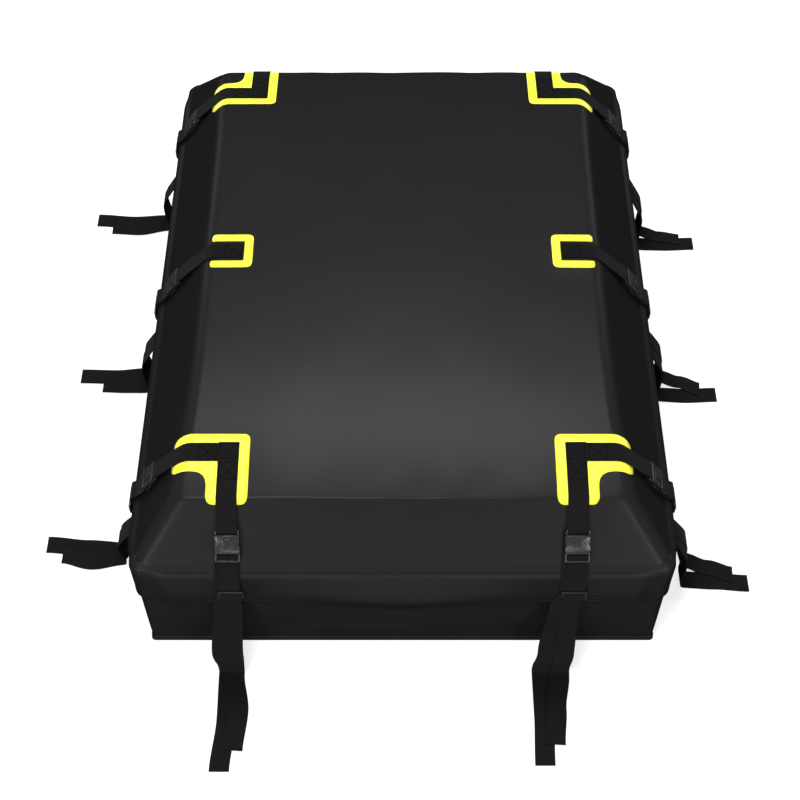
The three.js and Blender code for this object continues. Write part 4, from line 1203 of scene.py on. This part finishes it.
def build_patches(form):
    """Reflective patches, sewn on under the straps."""
    straps = form.straps_set
    outlines = []
    for sy, end in ((-1, "front"), (1, "back")):
        for sx, hand in ((-1, "left"), (1, "right")):
            outlines.append(("reflective_patch_{}_{}".format(end, hand), corner_outline(form, sx, sy)))
    for sx, hand in ((-1, "left"), (1, "right")):
        outlines.append(("reflective_patch_middle_" + hand, middle_outline(sx)))
    threads = Threads(0.0042, 0.00035)
    seam, above = 0.0032, straps.clearance + straps.patch + 0.0001
    for node, outline in outlines:
        mesh = patch_mesh(form, node, outline, straps.clearance, straps.patch)
        piece = place_piece(node + "_sheet", mesh, finish_of("reflective"), (node,))
        thicken(piece, straps.patch)
        threads.row(inner_line(form, outline, seam, above), closed=True)
    threads.place("patch_stitches", "bright thread", "reflective")


def bar_bend(form, down, off, start, end, steps=6):
    """A turn of webbing round a bar, about a place down the slope and off the fabric."""
    return [form.slope_point(a, b) for a, b in arc((down, off), BEND, start, end, steps)]


def anchor_path(form, strap):
    """Webbing from the top panel, over the edge and round the buckle's upper bar, as (out, height)
    places, and how much the fabric under each rises along the strap's width."""
    straps = form.straps_set
    lift = 2 * straps.clearance + straps.patch + straps.thickness / 2
    over, under = form.buckle_height + form.off_bar, form.buckle_height - form.off_bar
    slot = straps.buckle_start + form.bar + 0.0022
    step = 0.004
    surface, tilts = [], []
    for k in range(round((strap.start - 0.03) / step) + 1):
        out = k * step - strap.start
        place = strap.world(out, 0.0, 0.0)
        point, normal = form.lid_point(place.x, place.y, lift)
        raised = 0.0
        if strap.over:
            raised = form.pitch * (1 - smooth(straps.width + 0.001, straps.width + 0.008, k * step))
        surface.append(((strap.back @ point).x - strap.half, point.z + raised))
        tilts.append(-normal.dot(strap.side()) / normal.z)

    # Taut from where it leaves the fabric to the bar
    bar = form.slope_point(straps.buckle_start - 0.001, over)
    angles = [math.atan2(height - bar[1], bar[0] - out) for out, height in surface]
    last = angles.index(max(angles))
    path, tilts = surface[: last + 1], tilts[: last + 1]
    leave, leave_tilt = path[-1], tilts[-1]
    for k in range(1, 11):
        path.append((lerp(leave[0], bar[0], k / 10), lerp(leave[1], bar[1], k / 10)))
        tilts.append(leave_tilt * (1 - k / 10))
    path += bar_bend(form, slot - BEND, over - BEND, math.pi / 2, 0)
    path += bar_bend(form, slot - BEND, under + BEND, 0, -math.pi / 2)
    path.append(form.slope_point(straps.buckle_start, under))
    back = (Vector(leave) - Vector(bar)).normalized()
    outward = Vector((back.y, -back.x))
    for distance in TURN_BACK:
        path.append(tuple(Vector(bar) + back * distance - outward * form.pitch))
    return path, tilts + [0.0] * (len(path) - len(tilts))


def build_anchors(form):
    """Anchor webbing with its stitched boxes."""
    straps = form.straps_set
    threads = Threads(0.0034, 0.00075)
    for strap in form.straps:
        path, tilts = anchor_path(form, strap)
        side = strap.side()
        sides = [side + Vector((0.0, 0.0, tilt)) for tilt in tilts]
        band = Band([strap.world(out, 0.0, height) for out, height in path], sides)
        band.place("anchor_strap_" + strap.name, straps)
        corner = "middle" not in strap.name
        start = straps.width + 0.004 if corner else 0.004
        boxes = [(start, start + BOX_STITCH)]
        if corner and strap.over:
            boxes.append((0.003, straps.width - 0.003))
        for low, high in boxes:
            wide = straps.width / 2 - 0.003
            ends = [(low, -wide), (high, -wide), (high, wide), (low, wide)]
            top = straps.thickness / 2
            for k in range(4):
                threads.row(band.line(ends[k], ends[(k + 1) % 4], top))
            threads.row(band.line(ends[0], ends[2], top + 0.0001))
            threads.row(band.line(ends[1], ends[3], top + 0.0001))
    threads.place("anchor_stitches")


def base_route(form, start, reach):
    """Innermost layer of a loop, from a place on the slope out to its tip on the ground. It lies on the
    slope, goes over the flap's shoulder, down its face, and hangs free below its hem."""
    shape, straps = form.shape, form.straps_set
    low = form.low_layer
    flap = low + 0.002 + straps.clearance
    front = shape.flap_stand + low
    end = straps.buckle_start + TONGUE_END
    route = [form.slope_point(start, low)]
    if start < end:
        route.append(form.slope_point(end - 0.008, low))
        route.append(form.slope_point(end - 0.001, low))
    route += [
        form.slope_point(form.slope - 0.016, flap),
        form.slope_point(form.slope - 0.006, flap),
        (front - 0.0012, shape.lid_rim + 0.001),
        (front, shape.lid_rim - 0.008),
        (front, form.hem + 0.028),
        (front + 0.0005, form.hem + 0.002),
    ]
    route += [(front + out, form.hem - below) for out, below in HANG]
    route += [(front + 0.0640, low), (front + 0.0860, low), (reach, low)]
    return spline(route, 0.0055)


def drifted(form, strap, path, drifts):
    """Places of a layer with its sideways drift, from the keeper out to its end."""
    distances = [0.0]
    for before, point in zip(path, path[1:]):
        distances.append(distances[-1] + math.dist(point, before))
    marks = []
    for level in (strap.keeper, form.hem, form.hem - 0.096, 0.006):
        passed = (d for d, (out, height) in zip(distances, path) if height <= level and out > 0)
        marks.append(next(passed, distances[-1]))
    marks += [(marks[-1] + distances[-1]) / 2, distances[-1]]
    values = [drift * MM for drift in drifts]
    return [(out, table_value(marks, values, at), height) for (out, height), at in zip(path, distances)]


def tail_rolls(straps, tail, loop):
    """How far the tail rolls over the loop's edge where it lies across it near the ground."""
    edge_roll = math.atan2(0.0038, straps.width - 0.004)
    rolls = []
    for out, aside, height in tail:
        nearest = min(loop, key=lambda p: abs(p[0] - out) + abs(p[2] - height))
        shift = aside - nearest[1]
        lean = smooth(0.0, 1.0, (0.03 - height) / 0.02)
        rolls.append(-math.copysign(edge_roll, shift) * lean * smooth(0.004, 0.012, abs(shift)))
    return rolls


def build_loops(form):
    """Webbing loops, each with its free tail."""
    straps = form.straps_set
    threads = Threads(0.0034, 0.00036)
    low1, low2 = form.low_layer + form.pitch, form.low_layer + 2 * form.pitch
    over = form.buckle_height + form.off_bar
    near = straps.buckle_start + 0.046 + 0.0022
    far = near + 0.0084
    for strap in form.straps:
        reach, tail_reach, loop_drift, tail_drift = LOOPS[strap.name]
        reach, tail_reach = reach * MM, tail_reach * MM
        tip = reach - form.pitch / 2

        # Inner layer from the sewn end, round the tip, back up, and round the two bars
        inner = drifted(form, strap, base_route(form, straps.loop_sewn, tip), loop_drift)
        back = drifted(form, strap, offset_path(base_route(form, near + BEND, tip), form.pitch), loop_drift)
        turn = arc((tip, form.low_layer + form.pitch / 2), form.pitch / 2, -math.pi / 2, math.pi / 2, 6)
        places = inner[:-1]
        places += [(out, loop_drift[-1] * MM, height) for out, height in turn]
        places += back[::-1][1:-1]
        bars = bar_bend(form, near + BEND, low1 + BEND, -math.pi / 2, -math.pi)
        bars += bar_bend(form, near + BEND, over - BEND, math.pi, math.pi / 2)
        bars += bar_bend(form, far - BEND, over - BEND, math.pi / 2, 0)
        bars += bar_bend(form, far + BEND, low2 + BEND, math.pi, 1.5 * math.pi)
        places += [(out, 0.0, height) for out, height in bars]

        # Free tail over both layers
        route = offset_path(base_route(form, far + BEND, tail_reach), 2 * form.pitch)
        route = [(out + keeper_hump(strap.keeper, height, out), height) for out, height in route]
        tail = drifted(form, strap, route, tail_drift)[1:]
        beneath = drifted(form, strap, base_route(form, near, tip), loop_drift)
        rolls = [0.0] * len(places) + tail_rolls(straps, tail, beneath)
        places += tail
        band = Band([strap.world(*place) for place in places], [strap.side()] * len(places), rolls)
        band.place("strap_loop_" + strap.name, straps)
        wide = straps.width / 2 - 0.003
        for from_end in (0.004, 0.022):
            along = band.travelled[-1] - from_end
            threads.row(band.line((along, -wide), (along, wide), straps.thickness / 2))
    threads.place("loop_stitches")


def keeper_hump(keeper, height, out):
    """How far the tail stands out where it passes over the keeper's middle bar."""
    above = height - keeper
    if out < 0.004 or out > 0.04:
        return 0.0
    return 0.0054 * min(smooth(-0.0095, -0.0030, -above), smooth(-0.028, -0.014, above))


def build_keepers(form):
    """Small frames with two slots that hold the loops' layers together."""
    straps = form.straps_set
    half = straps.width / 2 + 0.0048
    thick = 0.0035
    outline = rectangle(-half, half, -KEEPER_HALF, KEEPER_HALF, 0.004)
    slots = []
    for sign in (-1, 1):
        y0, y1 = sorted((sign * KEEPER_BAR / 2, sign * (KEEPER_HALF - KEEPER_RAIL)))
        slots.append(rectangle(-half + 0.004, half - 0.004, y0, y1, 0.001)[::-1])
    mesh = joined("strap_keeper", [(plate(outline, slots, thick, 0.0009), 0.0)])
    mesh.materials.append(finish_of("plastic"))
    layers = form.low_layer + 2 * form.pitch + straps.thickness / 2
    stand = form.shape.flap_stand + layers + 0.0003 + thick / 2
    upright = Matrix.Rotation(math.pi / 2, 4, "Y") @ Matrix.Rotation(math.pi / 2, 4, "Z")
    for strap in form.straps:
        matrix = Matrix.Translation(strap.world(stand, 0.0, strap.keeper)) @ strap.turn @ upright
        place_piece("keeper_" + strap.name, mesh, None, (), "bag", matrix)


def slot_half(form):
    """Half the width of a slot that the webbing passes."""
    return form.straps_set.width / 2 + form.straps_set.clearance


def mirrored(x0, x1, near, far, radius, steps):
    """Two rectangles, one on each side of the buckle's middle line."""
    return [rectangle(x0, x1, *sorted((sign * near, sign * far)), radius, steps) for sign in (-1, 1)]


def socket_mesh(form):
    """Two shells on a frame, with walls, a bridge, a raised oval and a lip at the mouth."""
    half, mouth = BUCKLE_HALF, SOCKET_MOUTH
    shell = 0.0084
    edge = spline(
        [
            (shell + 0.001, half - 0.0050), (shell + 0.0045, half - 0.0022), (0.0150, half - 0.0004),
            (0.0180, half - 0.0022), (0.0220, half - 0.0036), (0.0262, half - 0.0022),
            (0.0300, half - 0.0004), (0.0370, half), (mouth - 0.001, half),
        ],
        0.0012,
    )
    outline = [(x, -y) for x, y in edge] + edge[::-1]
    top = plate(outline, [], 0.0032, 0.0012, 3)
    for vert in top.vertices:
        if vert.co.z > 0:
            vert.co.z += 0.0012 * (1 - (vert.co.y / half) ** 2)
            vert.co.z -= 0.0010 * smooth(0.036, mouth, vert.co.x)
    web = slot_half(form)
    eye = rectangle(0.0, 0.0145, -half + 0.001, half - 0.001, 0.0030, 5)
    eye_slot = rectangle(0.004, 0.0084, -web, web, 0.0008)[::-1]
    parts = [
        (top, 0.0040),
        (plate(outline, [], 0.0028, 0.0010, 2), -0.0046),
        (plate(eye, [eye_slot], 0.0040, 0.0012), 0.0),
    ]
    for x0, x1 in ((0.0100, 0.0150), (0.0300, 0.0442)):
        for wall in mirrored(x0, x1, half - 0.0036, half - 0.0003, 0.0008, 2):
            parts.append((plate(wall, [], 0.0094, 0.0006, 1), 0.0))
    bridge = rectangle(0.0088, 0.0140, -half + 0.003, half - 0.003, 0.001)
    parts.append((plate(bridge, [], 0.0092, 0.0006, 1), 0.0))
    raised = rectangle(0.0160, 0.0360, -0.0085, 0.0085, 0.0035)
    parts.append((plate(raised, [], 0.0016, 0.0006, 2), 0.0064))
    lip = rectangle(0.0415, mouth, -half + 0.0016, half - 0.0016, 0.0012)
    parts.append((plate(lip, [], 0.0018, 0.0008, 2), 0.0050))
    return joined("buckle_socket", parts)


def tongue_mesh(form):
    """Ladder with two slots, a guide, and two springy arms with ribbed pads."""
    half, mouth, end = BUCKLE_HALF, TONGUE_SHOULDER, TONGUE_END
    root, neck = 0.042, 0.0186
    web = slot_half(form)
    ladder = rounded(
        [
            (root, -neck), (mouth, -neck), (mouth, -half), (end, -half),
            (end, half), (mouth, half), (mouth, neck), (root, neck),
        ],
        0.0024,
    )
    slots = [rectangle(x, x + TONGUE_SLOT, -web, web, 0.0008)[::-1] for x in TONGUE_SLOTS]
    parts = [(plate(ladder, slots, 0.0042, 0.0011), 0.0)]
    edge = [(0.0165, 0.0010), (0.020, 0.0026), (0.043, 0.0036)]
    guide = rounded([(x, -y) for x, y in edge] + edge[::-1], 0.001)
    parts.append((plate(guide, [], 0.0036, 0.0008), 0.0))
    outer = [(0.0425, neck), (0.0345, 0.0180), (0.0290, 0.0172), (0.0220, 0.0182), (0.0165, 0.0176)]
    inner = [(0.0160, 0.0138), (0.0215, 0.0130), (0.0290, 0.0122), (0.0380, 0.0122), (0.0425, 0.0102)]
    for sign in (-1, 1):
        arm = [(x, sign * y) for x, y in outer + inner]
        arm = arm if sign > 0 else arm[::-1]
        parts.append((plate(rounded(arm, 0.0015, 3), [], 0.0042, 0.0009), 0.0))
    for pad in mirrored(0.0160, 0.0284, 0.0165, 0.0222, 0.0022, 4):
        parts.append((plate(pad, [], 0.0062, 0.0010), 0.0))
    for k in range(4):
        x = 0.0185 + k * 0.0026
        for rib in mirrored(x, x + 0.0011, 0.0212, 0.0227, 0.0003, 1):
            parts.append((plate(rib, [], 0.0056, 0.0004, 1), 0.0))
    return joined("buckle_tongue", parts)


def build_buckles(form):
    """Sockets and tongues, on the slopes."""
    socket, tongue = socket_mesh(form), tongue_mesh(form)
    for mesh in (socket, tongue):
        mesh.materials.append(finish_of("plastic"))
    out, height = form.slope_point(form.straps_set.buckle_start, form.buckle_height)
    lean = Matrix.Rotation(form.angle, 4, "Y")
    for strap in form.straps:
        matrix = Matrix.Translation(strap.world(out, 0.0, height)) @ strap.turn @ lean
        for kind, mesh in (("socket", socket), ("tongue", tongue)):
            node = "buckle_{}_{}".format(kind, strap.name)
            place_piece(node + "_moulded", mesh, None, (node,), "bag", matrix)


def build_marks(form):
    """Small stitched rectangles on the flap beside the front straps, and the foot band's stitches."""
    near, far, low, high = 0.029, 0.063, 0.010, 0.024
    sides, foot_height = 8, 0.0105
    front, outward = -form.half[1], Vector((0.0, -1.0, 0.0))
    threads = Threads(0.0034, 0.00036)
    for strap in form.straps:
        if strap.quarter != QUARTERS["front"]:
            continue
        x0, x1 = (strap.along + math.copysign(gap, strap.along) for gap in (near, far))
        z0, z1 = form.hem + low, form.hem + high
        corners = [(x0, z0), (x1, z0), (x1, z1), (x0, z1)]
        for k, a in enumerate(corners):
            b = corners[(k + 1) % 4]
            samples = []
            for n in range(sides + 1):
                x, z = lerp(a[0], b[0], n / sides), lerp(a[1], b[1], n / sides)
                section = spline(form.flap_section(x, front, outward.xy), 0.003)
                out = min(section, key=lambda p: abs(p[1] - z) + (0 if p[0] > 0.002 else 1))[0]
                samples.append((Vector((x, front - out - 0.0003, z)), outward))
            threads.row(samples)
    inset = form.shape.base_inset * (1 - foot_height / form.shape.tub_height) - 0.0019
    ring = form.ring(inset, radius=form.tub_corner(foot_height))
    threads.pitch = form.straps_set.stitch
    threads.row([(Vector((x, y, foot_height)), n.to_3d()) for x, y, n in ring], closed=True)
    threads.place("mark_stitches")


# Stage


def stage_object(name, data):
    """Object that belongs to the stage and not to the bag."""
    made = bpy.data.objects.new(name, data)
    bpy.context.scene.collection.objects.link(made)
    return made


def area_light(name, energy, size, place, target):
    lamp = bpy.data.lights.new(name, "AREA")
    lamp.shape = "RECTANGLE"
    lamp.energy = energy
    lamp.size, lamp.size_y = size
    made = stage_object(name, lamp)
    made.location = place
    made.rotation_mode = "QUATERNION"
    made.rotation_quaternion = (Vector(target) - Vector(place)).to_track_quat("-Z", "Y")


def shown_rays(tree):
    """1 on the rays that show the background: the camera's, and those off gloss and through glass."""
    seen = tree.nodes.new("ShaderNodeLightPath")
    shown = math_node(tree, "MAXIMUM", seen.outputs["Is Camera Ray"], seen.outputs["Is Glossy Ray"])
    return math_node(tree, "MAXIMUM", shown, seen.outputs["Is Transmission Ray"])


def build_floor(settings):
    corners = [(x * FLOOR_REACH, y * FLOOR_REACH, 0.0) for x, y in ((-1, -1), (1, -1), (1, 1), (-1, 1))]
    mesh = bpy.data.meshes.new("floor")
    mesh.from_pydata(corners, [], [(0, 1, 2, 3)])
    stage_object("Floor", mesh)
    material = bpy.data.materials.new("Floor")
    material.use_nodes = True
    tree = material.node_tree
    shader = tree.nodes["Principled BSDF"]
    shader.inputs["Base Color"].default_value = (*settings.floor, 1)
    shader.inputs["Roughness"].default_value = 1.0
    shader.inputs["Specular IOR Level"].default_value = 0.0
    glow = math_node(tree, "MULTIPLY", shown_rays(tree), settings.glow)
    shader.inputs["Emission Color"].default_value = (1.0, 1.0, 1.0, 1.0)
    tree.links.new(glow, shader.inputs["Emission Strength"])
    mesh.materials.append(material)


def build_room(settings):
    """White backdrop that lights the bag only evenly and faintly."""
    world = bpy.data.worlds.new("Room")
    world.use_nodes = True
    tree = world.node_tree
    backdrop = tree.nodes["Background"]
    backdrop.inputs["Color"].default_value = (1.0, 1.0, 1.0, 1.0)
    white = math_node(tree, "MULTIPLY", shown_rays(tree), 1.0 - settings.room)
    strength = math_node(tree, "ADD", white, settings.room)
    tree.links.new(strength, backdrop.inputs["Strength"])
    bpy.context.scene.world = world


def build_camera(settings):
    lens = bpy.data.cameras.new("Camera")
    lens.lens = settings.lens
    lens.sensor_width = 36.0
    lens.shift_x = LENS_SHIFT
    camera = stage_object("Camera", lens)
    camera.location = (
        0.0,
        -settings.distance * math.cos(settings.elevation) - AIM_FORWARD,
        settings.distance * math.sin(settings.elevation) - AIM_DOWN,
    )
    camera.rotation_euler = (math.pi / 2 - settings.elevation, 0.0, 0.0)
    bpy.context.scene.camera = camera


def build_stage(settings):
    build_floor(settings)
    build_room(settings)
    for name, setting, size, place, target in LAMPS:
        area_light(name, getattr(settings, setting), size, place, target)
    build_camera(settings)
    bpy.context.scene.view_settings.view_transform = "Standard"


# Operators


class CARGOBAG_OT_tub(Operator):
    """Adds the tub's floor and walls, with the band sewn round their foot"""

    bl_idname = "cargobag.tub"
    bl_label = "Tub"
    bl_options = {"REGISTER", "UNDO"}

    def execute(self, context):
        build_tub(Form(context.scene))
        return {"FINISHED"}


class CARGOBAG_OT_lid(Operator):
    """Adds the lid with its seams"""

    bl_idname = "cargobag.lid"
    bl_label = "Lid"
    bl_options = {"REGISTER", "UNDO"}

    def execute(self, context):
        build_lid(Form(context.scene))
        return {"FINISHED"}


class CARGOBAG_OT_flap(Operator):
    """Adds the storm flap over the zip"""

    bl_idname = "cargobag.flap"
    bl_label = "Storm flap"
    bl_options = {"REGISTER", "UNDO"}

    def execute(self, context):
        build_flap(Form(context.scene))
        return {"FINISHED"}


class CARGOBAG_OT_zip(Operator):
    """Adds the zip's tapes, teeth, sliders and pulls"""

    bl_idname = "cargobag.zip"
    bl_label = "Zip"
    bl_options = {"REGISTER", "UNDO"}

    def execute(self, context):
        build_zip(Form(context.scene))
        return {"FINISHED"}


class CARGOBAG_OT_patches(Operator):
    """Adds the reflective patches"""

    bl_idname = "cargobag.patches"
    bl_label = "Reflective patches"
    bl_options = {"REGISTER", "UNDO"}

    def execute(self, context):
        build_patches(Form(context.scene))
        return {"FINISHED"}


class CARGOBAG_OT_anchors(Operator):
    """Adds the webbing sewn on the lid"""

    bl_idname = "cargobag.anchors"
    bl_label = "Anchor straps"
    bl_options = {"REGISTER", "UNDO"}

    def execute(self, context):
        build_anchors(Form(context.scene))
        return {"FINISHED"}


class CARGOBAG_OT_loops(Operator):
    """Adds the webbing loops and their free tails"""

    bl_idname = "cargobag.loops"
    bl_label = "Strap loops"
    bl_options = {"REGISTER", "UNDO"}

    def execute(self, context):
        build_loops(Form(context.scene))
        return {"FINISHED"}


class CARGOBAG_OT_keepers(Operator):
    """Adds the strap keepers"""

    bl_idname = "cargobag.keepers"
    bl_label = "Strap keepers"
    bl_options = {"REGISTER", "UNDO"}

    def execute(self, context):
        build_keepers(Form(context.scene))
        return {"FINISHED"}


class CARGOBAG_OT_buckles(Operator):
    """Adds the side-release buckles"""

    bl_idname = "cargobag.buckles"
    bl_label = "Buckles"
    bl_options = {"REGISTER", "UNDO"}

    def execute(self, context):
        build_buckles(Form(context.scene))
        return {"FINISHED"}


class CARGOBAG_OT_marks(Operator):
    """Adds the small stitched rectangles and the foot band's stitches"""

    bl_idname = "cargobag.marks"
    bl_label = "Stitched marks"
    bl_options = {"REGISTER", "UNDO"}

    def execute(self, context):
        build_marks(Form(context.scene))
        return {"FINISHED"}


class CARGOBAG_OT_stage(Operator):
    """Adds the floor, the lights and the camera"""

    bl_idname = "cargobag.stage"
    bl_label = "Stage"
    bl_options = {"REGISTER", "UNDO"}

    def execute(self, context):
        build_stage(context.scene.bag_stage)
        return {"FINISHED"}


OPERATORS = (
    CARGOBAG_OT_tub, CARGOBAG_OT_lid, CARGOBAG_OT_flap, CARGOBAG_OT_zip, CARGOBAG_OT_patches,
    CARGOBAG_OT_anchors, CARGOBAG_OT_loops, CARGOBAG_OT_keepers, CARGOBAG_OT_buckles, CARGOBAG_OT_marks,
    CARGOBAG_OT_stage,
)


class CARGOBAG_PT_panel(Panel):
    """Sizes, colours and pieces of the cargo bag"""

    bl_idname = "CARGOBAG_PT_panel"
    bl_label = "Cargo Bag"
    bl_space_type = "VIEW_3D"
    bl_region_type = "UI"
    bl_category = "Cargo Bag"

    def draw(self, context):
        for operator in OPERATORS:
            self.layout.operator(operator.bl_idname)
        for group, _ in GROUPS:
            settings = getattr(context.scene, group)
            column = self.layout.column(align=True)
            for name in settings.bl_rna.properties.keys():
                if name not in ("rna_type", "name"):
                    column.prop(settings, name)


GROUPS = (
    ("bag_shape", BagShape), ("bag_straps", StrapShape), ("bag_finish", BagFinish), ("bag_stage", BagStage),
)
CLASSES = (*(cls for _, cls in GROUPS), *OPERATORS, CARGOBAG_PT_panel)


def register():
    for cls in CLASSES:
        bpy.utils.register_class(cls)
    for name, cls in GROUPS:
        setattr(bpy.types.Scene, name, PointerProperty(type=cls))


def unregister():
    for name, _ in GROUPS:
        delattr(bpy.types.Scene, name)
    for cls in reversed(CLASSES):
        bpy.utils.unregister_class(cls)


def main():
    register()
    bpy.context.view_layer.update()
    for operator in OPERATORS:
        area, name = operator.bl_idname.split(".")
        getattr(getattr(bpy.ops, area), name)()


if __name__ == "__main__":
    main()
